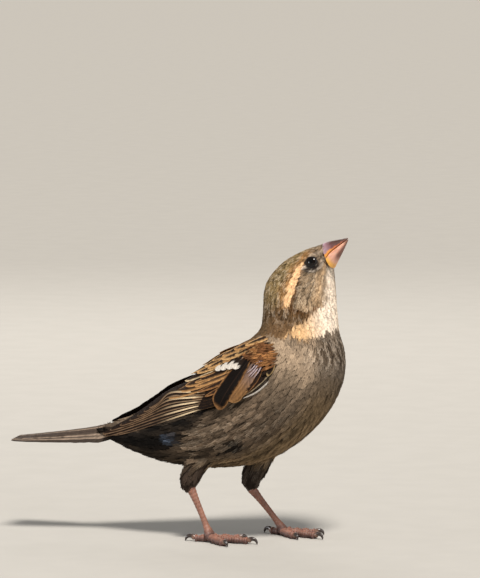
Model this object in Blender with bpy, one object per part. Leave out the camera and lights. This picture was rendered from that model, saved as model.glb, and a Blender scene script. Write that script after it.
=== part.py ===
"""A hen house sparrow at life size, standing on both feet with its bill raised.

+X is forwards, +Y is the bird's left, +Z is up, and both soles are on Z = 0. Sizes are in millimetres
until a mesh is made, and the scene is in metres. Every piece is a closed solid with a thin gap to the next.
"""

import math
from collections import namedtuple

import bmesh
import bpy
from mathutils import Matrix, Quaternion, Vector

MM = 0.001
GAP = 0.3

# ---- Driving sizes ------------------------------------------------------------------------------------

# The places below are measured from a point on the floor under the leading ankle. This is the middle of
# the bird's floor plan from there, and it becomes the origin.
ORIGIN = Vector((-21.7, -1.8, 0.0))

HEAD_YAW = -12.0
BILL_AXIS = Vector((0.77, 0.0, 0.64))
NECK_PIVOT = Vector((22.0, 0.0, 76.0))

BILL_LENGTH = 9.6
EYE_RADIUS = 3.0
EYE_INSET = 2.25

TARSUS_LENGTH = 18.2
TARSUS_RADIUS = 1.0
ANKLE_RADIUS = 1.5
SOLE_RADIUS = 1.75
TOE_RADIUS = 0.95
CLAW_RADIUS = 0.55
CLAW_TIP_RADIUS = 0.25

BODY_SIDES = 24
BODY_STEPS = 3
BODY_SQUARENESS = 2.15

# ---- The body's outline -------------------------------------------------------------------------------

# back and front are the (x, z) ends of a section in the plane Y = 0, half_width is its reach to each
# side, low is how far its widest part lies towards the front, and turn is its share of the head's turn.
Station = namedtuple("Station", "name back front half_width low turn")

BODY = (
    Station("bill_base", (31.4, 105.2), (34.0, 97.2), 3.9, 0.00, 1.0),
    Station("lores", (27.6, 104.4), (33.9, 94.4), 5.6, 0.05, 1.0),
    Station("brow", (22.8, 102.6), (34.1, 90.4), 7.7, 0.10, 1.0),
    Station("crown", (15.4, 98.4), (34.4, 85.4), 9.6, 0.16, 0.95),
    Station("nape", (9.3, 91.0), (35.0, 79.4), 10.7, 0.16, 0.75),
    Station("neck", (8.5, 81.4), (35.9, 73.0), 11.5, 0.10, 0.45),
    Station("collar", (7.9, 75.4), (37.7, 66.4), 13.9, 0.04, 0.15),
    Station("shoulder", (3.8, 71.2), (37.5, 58.4), 16.2, 0.00, 0.0),
    Station("breast", (-0.2, 68.2), (34.8, 50.5), 17.6, 0.00, 0.0),
    Station("keel", (-5.0, 64.8), (29.4, 42.3), 18.4, 0.00, 0.0),
    Station("flank", (-10.5, 60.8), (21.0, 34.5), 18.6, 0.00, 0.0),
    Station("belly", (-17.0, 56.0), (10.2, 28.2), 17.8, 0.00, 0.0),
    Station("hip", (-24.5, 50.8), (-2.8, 25.5), 15.8, 0.00, 0.0),
    Station("vent", (-33.0, 45.8), (-17.8, 25.4), 12.4, 0.00, 0.0),
    Station("undertail", (-42.0, 41.8), (-33.0, 28.1), 8.4, 0.00, 0.0),
    Station("tail_root", (-49.8, 38.8), (-47.2, 34.2), 5.4, 0.00, 0.0),
)
STATION_INDEX = {station.name: index for index, station in enumerate(BODY)}

# ---- The folded wing ----------------------------------------------------------------------------------

# top and bottom are the (x, y, z) ends of a section of the right wing's outer side, bulge how far its
# middle stands out from the line between them, and thickness the depth of the feathers there.
WingStation = namedtuple("WingStation", "top bottom bulge thickness")

WING = (
    WingStation((17.4, -12.2, 70.0), (19.2, -16.0, 63.4), 1.2, 2.4),
    WingStation((10.0, -11.4, 72.2), (13.8, -19.2, 57.4), 2.2, 3.4),
    WingStation((0.5, -9.2, 67.8), (5.8, -20.2, 51.8), 2.6, 3.4),
    WingStation((-9.0, -7.0, 62.2), (-3.4, -19.6, 48.4), 2.6, 3.0),
    WingStation((-18.5, -5.2, 56.4), (-12.4, -17.6, 46.4), 2.4, 2.6),
    WingStation((-27.5, -4.0, 50.8), (-22.0, -14.8, 43.2), 1.8, 2.2),
    WingStation((-35.5, -4.0, 45.4), (-31.5, -11.4, 40.0), 1.2, 1.8),
    WingStation((-43.0, -4.8, 40.6), (-41.0, -8.8, 37.0), 0.6, 1.4),
    WingStation((-49.2, -6.0, 36.8), (-48.8, -7.0, 35.2), 0.1, 0.9),
)
COVERTS_END = 2.9
SECONDARIES_END = 6.3
SECONDARIES_SHARE = 0.6
LEFT_WING_LIFT = 3.2


def blended(rows, place):
    """The rows of numbers, read at a place between them along a smooth curve through all of them."""
    place = min(max(place, 0.0), len(rows) - 1.0)
    index = min(int(place), len(rows) - 2)
    t = place - index
    p1, p2 = rows[index], rows[index + 1]
    p0 = rows[index - 1] if index else [2 * a - b for a, b in zip(p1, p2)]
    p3 = rows[index + 2] if index + 2 < len(rows) else [2 * b - a for a, b in zip(p1, p2)]
    return [
        0.5 * (2 * b + (c - a) * t + (2 * a - 5 * b + 4 * c - d) * t**2 + (3 * b - a - 3 * c + d) * t**3)
        for a, b, c, d in zip(p0, p1, p2, p3)
    ]


# ---- Making meshes ------------------------------------------------------------------------------------


def material(name, colour, roughness):
    made = bpy.data.materials.new(name)
    made.use_nodes = True
    shader = made.node_tree.nodes["Principled BSDF"]
    shader.inputs["Base Color"].default_value = (*colour, 1.0)
    shader.inputs["Roughness"].default_value = roughness
    shader.inputs["Metallic"].default_value = 0.0
    return made


def add_object(name, mesh, collection, finish=None):
    made = bpy.data.objects.new(name, mesh)
    collection.objects.link(made)
    if finish:
        mesh.materials.append(finish)
    return made


def loft(name, rings, collection, finish=None):
    """A closed solid through rings of points that all have the same count, with a flat cap at each end."""
    bm = bmesh.new()
    rows = [[bm.verts.new((Vector(point) - ORIGIN) * MM) for point in ring] for ring in rings]
    for row, following in zip(rows, rows[1:]):
        for index in range(len(row)):
            after = (index + 1) % len(row)
            bm.faces.new((row[index], row[after], following[after], following[index]))
    bm.faces.new(rows[0][::-1])
    bm.faces.new(rows[-1])
    bmesh.ops.recalc_face_normals(bm, faces=bm.faces)
    mesh = bpy.data.meshes.new(name)
    bm.to_mesh(mesh)
    bm.free()
    mesh.shade_smooth()
    return add_object(name, mesh, collection, finish)


def tube(name, path, radii, collection, finish=None, sides=8, upright=(0, 0, 1), floor=None):
    """A solid along a path. radii holds (across, upright) at each point, and no point is under the floor."""
    points = [Vector(point) for point in path]
    rings = []
    for index, centre in enumerate(points):
        ahead = points[min(index + 1, len(points) - 1)] - points[max(index - 1, 0)]
        ahead.normalize()
        across = ahead.cross(Vector(upright)).normalized()
        raised = across.cross(ahead)
        ring = []
        for side in range(sides):
            angle = 2 * math.pi * (side + 0.5) / sides
            point = centre + across * (radii[index][0] * math.cos(angle))
            point += raised * (radii[index][1] * math.sin(angle))
            if floor is not None:
                point.z = max(point.z, floor)
            ring.append(point)
        rings.append(ring)
    return loft(name, rings, collection, finish)


def cut(piece, cutter):
    """Takes the cutter's shape out of the piece."""
    modifier = piece.modifiers.new("cut_" + cutter.name, "BOOLEAN")
    modifier.operation = "DIFFERENCE"
    modifier.solver = "EXACT"
    modifier.object = cutter


def as_cutter(piece):
    piece.hide_render = True
    piece.display_type = "WIRE"
    return piece


# ---- Head, neck and trunk -----------------------------------------------------------------------------


def head_rotation(share):
    return Quaternion((0, 0, 1), math.radians(HEAD_YAW * share))


def turned(point, share):
    """The point, carried round the neck by this share of the head's turn."""
    return head_rotation(share) @ (Vector(point) - NECK_PIVOT) + NECK_PIVOT


def body_frame(place):
    """Centre, direction to the back, direction to the left, half depth, half width, low and turn."""
    rows = [(*s.back, *s.front, s.half_width, s.low, s.turn) for s in BODY]
    back_x, back_z, front_x, front_z, half_width, low, turn = blended(rows, place)
    back = Vector((back_x, 0, back_z))
    front = Vector((front_x, 0, front_z))
    centre = turned((back + front) / 2, turn)
    spin = head_rotation(turn)
    dorsal = spin @ (back - front).normalized()
    return centre, dorsal, spin @ Vector((0, 1, 0)), (back - front).length / 2, half_width, low


def body_point(place, angle, grow=0.0):
    """A point of the skin. The angle is 0 at the back and 90 degrees on the left."""
    centre, dorsal, left, half_depth, half_width, low = body_frame(place)
    power = 2 / BODY_SQUARENESS
    up = math.copysign(abs(math.cos(angle)) ** power, math.cos(angle))
    out = math.copysign(abs(math.sin(angle)) ** power, math.sin(angle))
    out *= 1 - low * up
    return centre + dorsal * ((half_depth + grow) * up) + left * ((half_width + grow) * out)


def body_ring(place, grow=0.0, shift=0.0):
    """The ring of the skin at a place, moved by shift along the body, which is positive towards the tail."""
    _, dorsal, left, _, _, _ = body_frame(place)
    along = dorsal.cross(left) * shift
    angles = [2 * math.pi * side / BODY_SIDES for side in range(BODY_SIDES)]
    return [body_point(place, angle, grow) + along for angle in angles]


def body_length(name, first, last, collection, finish=None, grow=0.0):
    """The stretch of the body between two stations, with half a gap taken off each end."""
    start, end = STATION_INDEX[first], STATION_INDEX[last]
    count = (end - start) * BODY_STEPS
    places = [start + (end - start) * step / count for step in range(count + 1)]
    rings = [body_ring(place, grow) for place in places]
    rings[0] = body_ring(places[0], grow, GAP / 2 - grow)
    rings[-1] = body_ring(places[-1], grow, grow - GAP / 2)
    return loft(name, rings, collection, finish)


# ---- Bill and eyes ------------------------------------------------------------------------------------


def bill_frame():
    """The middle of the bill's base, the way to its tip, the way to its ridge, and its left."""
    base = BODY[0]
    middle = Vector(((base.back[0] + base.front[0]) / 2, 0, (base.back[1] + base.front[1]) / 2))
    ahead = BILL_AXIS.normalized()
    ridge = Vector((-ahead.z, 0, ahead.x))
    spin = head_rotation(1.0)
    return turned(middle, 1.0), spin @ ahead, spin @ ridge, spin @ Vector((0, 1, 0))


def bill_half(name, upper, collection, finish):
    """One half of the bill. It starts on the slanting plane of the face and ends in a blunt point."""
    middle, ahead, ridge, left = bill_frame()
    base = BODY[0]
    half_depth = math.dist(base.back, base.front) / 2
    face_slant = 0.30
    rings = []
    for step in range(10):
        share = step / 9
        taper = 1 - share
        outer = half_depth * (1 - share**1.25 if upper else taper**0.98) + 0.22
        parting = -0.95 * max(0.0, 1 - share / 0.35) ** 2
        reach = 3.7 * taper**0.85 + 0.28
        ring = []
        for side in range(13):
            angle = math.pi * side / 12
            across = reach * math.cos(angle)
            height = (outer - parting if upper else outer + parting) * math.sin(angle) ** 0.9
            height = parting + GAP / 2 + height if upper else parting - GAP / 2 - height
            along = GAP + share * BILL_LENGTH + face_slant * height * taper
            if not upper:
                along *= 0.975
            ring.append(middle + ahead * along + ridge * height + left * across)
        rings.append(ring)
    return loft(name, rings, collection, finish)


def eye_centre(side):
    """The middle of an eyeball, sunk in the side of the head. side is 1 on the left and -1 on the right."""
    place, angle = 1.42, math.radians(70)
    surface = body_point(place, side * angle)
    beside = body_point(place, side * (angle + 0.05)) - surface
    along = body_point(place + 0.05, side * angle) - surface
    inwards = beside.cross(along).normalized()
    centre = body_frame(place)[0]
    if inwards.dot(centre - surface) < 0:
        inwards.negate()
    return surface + inwards * EYE_INSET


def sphere(name, centre, radius, collection, finish=None):
    bm = bmesh.new()
    bmesh.ops.create_uvsphere(bm, u_segments=16, v_segments=10, radius=radius * MM)
    bmesh.ops.translate(bm, verts=bm.verts, vec=(centre - ORIGIN) * MM)
    mesh = bpy.data.meshes.new(name)
    bm.to_mesh(mesh)
    bm.free()
    mesh.shade_smooth()
    return add_object(name, mesh, collection, finish)


# ---- Wings --------------------------------------------------------------------------------------------


def wing_section(place, low, high, side, grow):
    """A ring round the feathers between two shares of the wing's height. side is 1 on the left."""
    rows = [(*w.top, *w.bottom, w.bulge, w.thickness) for w in WING]
    row = blended(rows, place)
    top, bottom = Vector(row[0:3]), Vector(row[3:6])
    bulge, thickness = row[6], row[7]
    height = (bottom - top).length
    low -= grow / height
    high += grow / height
    outer, inner = [], []
    count = 7
    for step in range(count):
        share = low + (high - low) * step / (count - 1)
        edge = math.sin(math.pi * (0.12 + 0.76 * step / (count - 1)))
        point = top.lerp(bottom, share) + Vector((0, -bulge * 4 * share * (1 - share), 0))
        depth = thickness * edge**0.7
        middle = point + Vector((0, thickness / 2, 0))
        outer.append(middle - Vector((0, depth / 2 + grow, 0)))
        inner.append(middle + Vector((0, depth / 2 + grow, 0)))
    ring = outer + inner[::-1]
    if side > 0:
        lift = Vector((0, 0, LEFT_WING_LIFT * (place / (len(WING) - 1)) ** 1.2))
        ring = [Vector((p.x, -p.y, p.z)) + lift for p in ring]
    return ring


def secondaries_share(place):
    """How much of the wing's height the secondaries take, from its top, at a place along it."""
    left = (SECONDARIES_END + 0.4 - place) / (SECONDARIES_END + 0.4 - COVERTS_END)
    return SECONDARIES_SHARE * max(0.0, left) ** 0.8


def wing_piece(name, part, side, collection, finish=None, grow=0.0):
    """One part of a folded wing: its coverts, secondaries, primaries, or the whole of it."""
    last = len(WING) - 1.0
    split = GAP / 2 / 12.0
    parting = GAP / 2 / 9.0
    spans = {
        "coverts": (0.0, COVERTS_END - parting, lambda p: (0, 1)),
        "secondaries": (COVERTS_END + parting, SECONDARIES_END, lambda p: (0, secondaries_share(p) - split)),
        "primaries": (COVERTS_END + parting, last, lambda p: (secondaries_share(p) + split, 1)),
        "whole": (0.0, last, lambda p: (0, 1)),
    }
    start, end, heights = spans[part]
    count = 3 * math.ceil(end - start)
    places = [start + (end - start) * step / count for step in range(count + 1)]
    rings = [wing_section(place, *heights(place), side, grow) for place in places]
    if grow:
        first = (Vector(rings[0][3]) - Vector(rings[1][3])).normalized() * grow
        rings[0] = [Vector(point) + first for point in rings[0]]
        final = (Vector(rings[-1][3]) - Vector(rings[-2][3])).normalized() * grow
        rings[-1] = [Vector(point) + final for point in rings[-1]]
    return loft(name, rings, collection, finish)


# ---- Tail ---------------------------------------------------------------------------------------------

TAIL_ROOT_X = -50.6
TAIL_TIP_X = -83.4
TAIL_NOTCH = 2.2
TAIL_ROOT_HALF = 5.2
TAIL_TIP_HALF = 8.6


def tail_ring(share):
    """A ring round the closed fan. Its middle feathers are highest, and its end is notched."""
    half = TAIL_ROOT_HALF + (TAIL_TIP_HALF - TAIL_ROOT_HALF) * share**0.8
    crest = 38.4 + (34.3 - 38.4) * share**0.9
    sag = 3.4 * (1 - share) ** 0.9 + 0.3
    thickness = 1.5 - 0.8 * share
    upper, lower = [], []
    count = 9
    for step in range(count):
        across = 2 * step / (count - 1) - 1
        x = TAIL_ROOT_X + (TAIL_TIP_X - TAIL_ROOT_X) * share
        x += TAIL_NOTCH * share**3 * (1 - abs(across)) ** 0.8
        x -= 0.35 * (crest - 36) * (1 - share) ** 6 * (1 - across**2)
        z = crest - sag * across**2
        edge = max(0.5, 1 - across**4 * 0.5)
        upper.append(Vector((x, half * across, z)))
        lower.append(Vector((x, half * across, z - thickness * edge)))
    return upper + lower[::-1]


# ---- Legs ---------------------------------------------------------------------------------------------

FORWARDS = (1, 0, 0)

# ankle_way points from the foot to the ankle. thigh holds the centre line from inside the body down to just
# above the ankle, and thigh_radii its (across, fore and aft) radii there and at the ankle. heading is the way
# the middle toe points, and splay how far the outer, middle and inner toes turn from it.
Leg = namedtuple("Leg", "side foot ankle_way thigh thigh_radii heading splay")

LEGS = (
    Leg(
        "right", (-7.4, -12.0), (-7.4, 1.6, 16.3),
        ((-9.5, -8.4, 33.0), (-14.0, -9.2, 26.5), (-15.8, -9.8, 22.4), (-15.9, -10.2, 19.4)),
        ((4.2, 5.4), (3.5, 4.2), (3.0, 3.6), (2.6, 3.1), (1.8, 2.0)),
        -6.0, (-44.0, 0.0, 30.0),
    ),
    Leg(
        "left", (14.0, 10.6), (-10.9, -2.6, 14.5),
        ((7.5, 8.0, 33.0), (4.4, 8.0, 26.0), (2.6, 8.0, 22.0), (1.9, 8.0, 18.8)),
        ((4.2, 5.4), (3.7, 4.6), (3.2, 4.0), (2.7, 3.4), (1.8, 2.0)),
        -26.0, (36.0, 0.0, -26.0),
    ),
)

# Each toe's start (forwards, to its side) from the middle of the foot, its length and its claw's bend radius.
Toe = namedtuple("Toe", "name start length claw")

TOES = (
    Toe("outer_toe", (1.3, 1.8), 8.4, 1.55),
    Toe("middle_toe", (2.1, 0.0), 11.4, 1.8),
    Toe("inner_toe", (1.3, 1.8), 7.8, 1.55),
)
HALLUX = Toe("hind_toe", (-2.1, 0.0), 5.4, 2.1)

# A claw is an arc that leaves the toe's end, rises and comes down to the floor.
CLAW_START = math.radians(150)
CLAW_END = math.radians(-5)


def foot_direction(degrees):
    return Vector((math.cos(math.radians(degrees)), math.sin(math.radians(degrees)), 0))


def add_toe(leg, toe, degrees, start, collection, finish, claw_finish):
    """A toe that lies on its pads, and the claw that arches from its end down to the floor."""
    ahead = foot_direction(degrees)
    up = Vector((0, 0, 1))
    path, radii = [], []
    for step in range(9):
        share = step / 8
        pad = 0.92 + 0.08 * math.cos(4 * math.pi * share)
        radius = TOE_RADIUS * pad * (1 - 0.22 * share)
        height = radius * 0.86 + 0.3 * (1 - share) ** 3 + 0.3 * share**4
        path.append(start + ahead * (toe.length * share) + up * height)
        radii.append((radius * 0.84, radius))
    tube(f"{toe.name}_{leg.side}", path, radii, collection, finish, floor=0.0)
    first = ahead * math.cos(CLAW_START) + up * math.sin(CLAW_START)
    centre = path[-1] + ahead * GAP - first * toe.claw
    claw_path, claw_radii = [], []
    for step in range(7):
        share = step / 6
        angle = CLAW_START + (CLAW_END - CLAW_START) * share
        claw_path.append(centre + (ahead * math.cos(angle) + up * math.sin(angle)) * toe.claw)
        radius = CLAW_RADIUS + (CLAW_TIP_RADIUS - CLAW_RADIUS) * share
        claw_radii.append((radius, radius * 0.8))
    across = ahead.cross(up)
    name = f"{toe.name.replace('toe', 'claw')}_{leg.side}"
    tube(name, claw_path, claw_radii, collection, claw_finish, 6, across, 0.04)


def add_leg(leg, belly, collection, finishes):
    foot = Vector((*leg.foot, 1.25))
    ankle = foot + Vector(leg.ankle_way).normalized() * TARSUS_LENGTH
    thigh_path = [*leg.thigh, ankle + Vector((0, 0, 0.6))]
    name = f"thigh_{leg.side}"
    thigh = tube(name, thigh_path, leg.thigh_radii, collection, finishes["flank"], 14, FORWARDS)
    cut(thigh, belly)
    shank_path, shank_radii = [], []
    steps = 9
    for step in range(steps):
        share = step / (steps - 1)
        point = ankle.lerp(foot, share) - (ankle - foot).normalized() * (GAP * (1 - share))
        radius = TARSUS_RADIUS
        radius += (ANKLE_RADIUS - TARSUS_RADIUS) * (1 - share) ** 4
        radius += (SOLE_RADIUS - TARSUS_RADIUS) * share**4
        shank_path.append(point)
        shank_radii.append((radius * 0.92, radius * 1.08))
    shank_path.append(Vector((foot.x, foot.y, 0.0)))
    shank_radii.append((SOLE_RADIUS, SOLE_RADIUS))
    name = f"tarsus_{leg.side}"
    shank = tube(name, shank_path, shank_radii, collection, finishes["leg"], 10, FORWARDS, 0.0)
    cut(shank, grown_thigh(leg, thigh_path))
    outward = 1 if leg.side == "left" else -1
    ahead = foot_direction(leg.heading)
    across = Vector((-ahead.y, ahead.x, 0)) * outward
    ground = Vector((foot.x, foot.y, 0))
    for toe, splay, row in zip(TOES, leg.splay, (1, 0, -1)):
        start = ground + ahead * toe.start[0] + across * (toe.start[1] * row)
        add_toe(leg, toe, leg.heading + splay, start, collection, finishes["leg"], finishes["claw"])
    start = ground + ahead * HALLUX.start[0]
    add_toe(leg, HALLUX, leg.heading + 180, start, collection, finishes["leg"], finishes["claw"])


def grown_thigh(leg, path):
    radii = [(a + GAP, b + GAP) for a, b in leg.thigh_radii]
    down = (Vector(path[-1]) - Vector(path[-2])).normalized() * GAP
    longer = [*path[:-1], Vector(path[-1]) + down]
    return as_cutter(tube(f"cutter_thigh_{leg.side}", longer, radii, cutters, None, 14, FORWARDS))


# ---- The bird -----------------------------------------------------------------------------------------

for old in list(bpy.data.objects):
    bpy.data.objects.remove(old)
bird = bpy.data.collections.new("house_sparrow")
cutters = bpy.data.collections.new("cutters")
for made in (bird, cutters):
    bpy.context.scene.collection.children.link(made)

finishes = {
    "crown": material("grey_brown_crown", (0.30, 0.23, 0.16), 0.9),
    "breast": material("grey_buff_breast", (0.42, 0.35, 0.27), 0.9),
    "flank": material("grey_flank", (0.34, 0.28, 0.21), 0.9),
    "coverts": material("chestnut_coverts", (0.36, 0.17, 0.07), 0.85),
    "flight": material("dark_brown_flight_feathers", (0.13, 0.085, 0.05), 0.7),
    "tail": material("brown_tail_feathers", (0.20, 0.15, 0.11), 0.75),
    "upper_bill": material("horn_brown_bill", (0.36, 0.22, 0.20), 0.4),
    "lower_bill": material("flesh_pink_bill", (0.66, 0.38, 0.24), 0.4),
    "eye": material("dark_brown_eye", (0.02, 0.012, 0.008), 0.08),
    "leg": material("pinkish_brown_leg", (0.50, 0.27, 0.20), 0.55),
    "claw": material("dark_horn_claw", (0.07, 0.05, 0.045), 0.4),
}

head = body_length("head", "bill_base", "neck", bird, finishes["crown"])
body_length("neck", "neck", "shoulder", bird, finishes["breast"])
trunk = body_length("trunk", "shoulder", "tail_root", bird, finishes["breast"])
belly = as_cutter(body_length("cutter_belly", "breast", "tail_root", cutters, grow=GAP))

for side, word in ((1, "left"), (-1, "right")):
    sphere(f"eye_{word}", eye_centre(side), EYE_RADIUS, bird, finishes["eye"])
    cut(head, as_cutter(sphere(f"cutter_eye_{word}", eye_centre(side), EYE_RADIUS + GAP, cutters)))

bill_half("bill_upper", True, bird, finishes["upper_bill"])
bill_half("bill_lower", False, bird, finishes["lower_bill"])

for side, word in ((1, "left"), (-1, "right")):
    wing_piece(f"wing_coverts_{word}", "coverts", side, bird, finishes["coverts"])
    wing_piece(f"wing_secondaries_{word}", "secondaries", side, bird, finishes["flight"])
    wing_piece(f"wing_primaries_{word}", "primaries", side, bird, finishes["flight"])
    whole = as_cutter(wing_piece(f"cutter_wing_{word}", "whole", side, cutters, grow=GAP))
    cut(trunk, whole)
    cut(bpy.data.objects["neck"], whole)

tail = loft("tail", [tail_ring(step / 7) for step in range(8)], bird, finishes["tail"])

for leg in LEGS:
    add_leg(leg, belly, bird, finishes)
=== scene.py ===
"""The looks of a life-size house sparrow, a hen looking up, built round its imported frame.

All lengths are in millimetres until a mesh is made. +X is ahead, +Z is up, and the bird's right side
is at -Y.
"""

import math
from contextlib import contextmanager

import bpy
import numpy as np
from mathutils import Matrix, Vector
from mathutils.bvhtree import BVHTree


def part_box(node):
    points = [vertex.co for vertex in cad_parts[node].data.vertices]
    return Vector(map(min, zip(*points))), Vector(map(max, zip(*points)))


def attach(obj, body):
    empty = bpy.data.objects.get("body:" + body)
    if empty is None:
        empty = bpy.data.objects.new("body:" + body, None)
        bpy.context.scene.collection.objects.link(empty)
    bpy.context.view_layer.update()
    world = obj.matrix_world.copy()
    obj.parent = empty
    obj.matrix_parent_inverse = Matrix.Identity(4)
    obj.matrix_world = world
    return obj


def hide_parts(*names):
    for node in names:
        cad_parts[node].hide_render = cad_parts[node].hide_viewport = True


MM = 0.001
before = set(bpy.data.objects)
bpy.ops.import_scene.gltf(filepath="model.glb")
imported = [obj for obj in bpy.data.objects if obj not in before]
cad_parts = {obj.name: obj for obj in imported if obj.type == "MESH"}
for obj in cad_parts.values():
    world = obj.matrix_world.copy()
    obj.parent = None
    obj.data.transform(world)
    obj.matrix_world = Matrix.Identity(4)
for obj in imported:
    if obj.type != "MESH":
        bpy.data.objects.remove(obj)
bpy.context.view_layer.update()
rng = np.random.default_rng(11)
world_up = np.array((0.0, 0.0, 1.0))
MIDDLE_Y = 1.8


# ---- Small sums ---------------------------------------------------------------------------------------


def unit(vectors):
    """Vectors at length one."""
    length = np.linalg.norm(vectors, axis=-1, keepdims=True)
    return vectors / np.maximum(length, 1e-9)


def above(value, edge, soft):
    """0 below an edge and 1 above it, with a soft step between."""
    share = np.clip((value - edge) / soft + 0.5, 0, 1)
    return share * share * (3 - 2 * share)


def between(value, low, high, soft):
    return above(value, low, soft) * (1 - above(value, high, soft))


def blend(one, other, share):
    """A value between two others."""
    return one + (other - one) * share


def mix(one, other, share):
    """Colours between two others, one for each share."""
    return blend(one, np.asarray(other), np.asarray(share)[..., None])


def paint(red, green, blue):
    """A paint chip's colour as light."""
    chip = np.array((red, green, blue)) / 255
    return np.where(chip < 0.04045, chip / 12.92, ((chip + 0.055) / 1.055) ** 2.4)


def curve_through(rows, count):
    """Points spaced along a smooth curve through the rows."""
    rows = np.asarray(rows, float)
    ends = np.vstack((2 * rows[0] - rows[1], rows, 2 * rows[-1] - rows[-2]))
    place = np.linspace(0, len(rows) - 1, count)
    index = np.minimum(place.astype(int), len(rows) - 2)
    t = (place - index)[:, None]
    a, b, c, d = (ends[index + step] for step in range(4))
    bow, twist = 2 * a - 5 * b + 4 * c - d, 3 * b - a - 3 * c + d
    return 0.5 * (2 * b + (c - a) * t + bow * t**2 + twist * t**3)


def run_along(line):
    """How far along a line each of its points is."""
    steps = np.linalg.norm(np.diff(line, axis=0), axis=1)
    return np.concatenate(((0,), np.cumsum(steps)))


WAVES = np.random.default_rng(3).normal(size=(10, 3))
PHASES = np.random.default_rng(4).uniform(0, 2 * math.pi, 10)
WAVE_PITCH = 2.2
WAVES_TOGETHER = 3.2


def wobble(points, size):
    """A smooth random value from about -1 to 1, in patches of this size."""
    angle = points @ (WAVES.T * (WAVE_PITCH / size)) + PHASES
    return np.sin(angle).sum(-1) / WAVES_TOGETHER


# ---- The chart of the bird: how far from the bill, and how far round from the back --------------------

SPINE = (
    (54.2, -0.4, 101.2, -0.30, 0.06, 0.95),
    (51.9, 0.1, 98.9, -0.55, 0.12, 0.82),
    (48.7, 0.8, 94.9, -0.73, 0.15, 0.67),
    (44.7, 1.6, 88.1, -0.87, 0.16, 0.47),
    (43.8, 1.8, 78.7, -0.95, 0.10, 0.31),
    (44.5, 1.8, 70.9, -0.96, 0.03, 0.29),
    (41.8, 1.8, 63.7, -0.93, 0.0, 0.37),
    (36.2, 1.8, 55.9, -0.86, 0.0, 0.51),
    (27.0, 1.8, 47.7, -0.77, 0.0, 0.64),
    (14.4, 1.8, 40.3, -0.68, 0.0, 0.73),
    (-1.3, 1.8, 36.0, -0.61, 0.0, 0.79),
    (-15.8, 1.8, 35.0, -0.55, 0.0, 0.84),
    (-26.8, 1.8, 36.5, -0.49, 0.0, 0.87),
)
SPINE_STATIONS = 300
spine_rows = curve_through(SPINE, SPINE_STATIONS)
spine_points = spine_rows[:, :3]
spine_ways = unit(np.gradient(spine_points, axis=0))
spine_backs = spine_rows[:, 3:] - (spine_rows[:, 3:] * spine_ways).sum(1, keepdims=True) * spine_ways
spine_backs = unit(spine_backs)
spine_rights = np.cross(spine_backs, spine_ways)
spine_places = run_along(spine_points)
BODY_LENGTH = spine_places[-1]
BEFORE_BILL, BEYOND_TAIL = -12, 40
BATCH = 20000


def chart(points):
    """How far each point is from the bill, its angle round from the back in degrees, and the way aft."""
    nearest = np.empty(len(points), int)
    for start in range(0, len(points), BATCH):
        part = points[start : start + BATCH]
        gaps = ((part[:, None, :] - spine_points[None]) ** 2).sum(-1)
        nearest[start : start + BATCH] = gaps.argmin(1)
    offset = points - spine_points[nearest]
    along = (offset * spine_ways[nearest]).sum(1)
    at_an_end = (nearest == 0) | (nearest == SPINE_STATIONS - 1)
    place = spine_places[nearest] + np.clip(along, BEFORE_BILL, BEYOND_TAIL) * at_an_end
    angle = np.degrees(
        np.arctan2((offset * spine_rights[nearest]).sum(1), (offset * spine_backs[nearest]).sum(1))
    )
    return place, angle, spine_ways[nearest]


# ---- Shader maths -------------------------------------------------------------------------------------


class Wire:
    """A socket in a material's nodes. Sums on it add Math nodes."""

    def __init__(self, tree, socket=None):
        self.tree = tree
        self.socket = socket

    def node(self, kind, settings=None, inputs=None, output=0):
        """Adds any other node: its type, its settings, then the values or links of its sockets."""
        made = self.tree.nodes.new(kind)
        for name, value in (settings or {}).items():
            if name == "stops":
                ramp = made.color_ramp
                while len(ramp.elements) < len(value):
                    ramp.elements.new(0.5)
                for element, (place, colour) in zip(ramp.elements, value):
                    element.position = place
                    element.color = (*colour, 1.0)
            else:
                setattr(made, name, value)
        for name, value in (inputs or {}).items():
            if isinstance(value, Wire):
                self.tree.links.new(value.socket, made.inputs[name])
            else:
                made.inputs[name].default_value = value
        return Wire(self.tree, made.outputs[output])

    def math(self, operation, *values):
        return self.node("ShaderNodeMath", {"operation": operation}, dict(enumerate(values)))

    def __add__(self, other):
        return self.math("ADD", self, other)

    def __radd__(self, other):
        return self.math("ADD", other, self)

    def __sub__(self, other):
        return self.math("SUBTRACT", self, other)

    def __rsub__(self, other):
        return self.math("SUBTRACT", other, self)

    def __mul__(self, other):
        return self.math("MULTIPLY", self, other)

    def __rmul__(self, other):
        return self.math("MULTIPLY", other, self)

    def clamped(self, low, high):
        """This value with its range from low to high spread over 0 to 1."""
        inputs = {"Value": self, "From Min": low, "From Max": high}
        return self.node("ShaderNodeMapRange", {"interpolation_type": "SMOOTHSTEP"}, inputs)


def tinted(colour, other, share, way="MIX"):
    """One colour laid over another."""
    inputs = {0: share, 6: colour, 7: other}
    return colour.node("ShaderNodeMix", {"data_type": "RGBA", "blend_type": way}, inputs, 2)


def new_finish(name):
    """An empty material, its nodes, and its shader."""
    finish = bpy.data.materials.new(name)
    finish.use_nodes = True
    tree = finish.node_tree
    return finish, Wire(tree), tree.nodes["Principled BSDF"]


def feed(wire, shader, socket):
    wire.tree.links.new(wire.socket, shader.inputs[socket])


def painted(nodes):
    """The colour that is painted on the piece's points."""
    return nodes.node("ShaderNodeAttribute", {"attribute_name": "plumage"})


def place_on(nodes):
    """The place on the piece."""
    return nodes.node("ShaderNodeTexCoord", None, None, 3)


def plain(nodes, red, green, blue):
    """One even colour."""
    colour = nodes.node("ShaderNodeRGB")
    colour.socket.default_value = (red, green, blue, 1)
    return colour


def noise(place, scale, detail):
    return place.node("ShaderNodeTexNoise", None, {"Vector": place, "Scale": scale, "Detail": detail})


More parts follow.
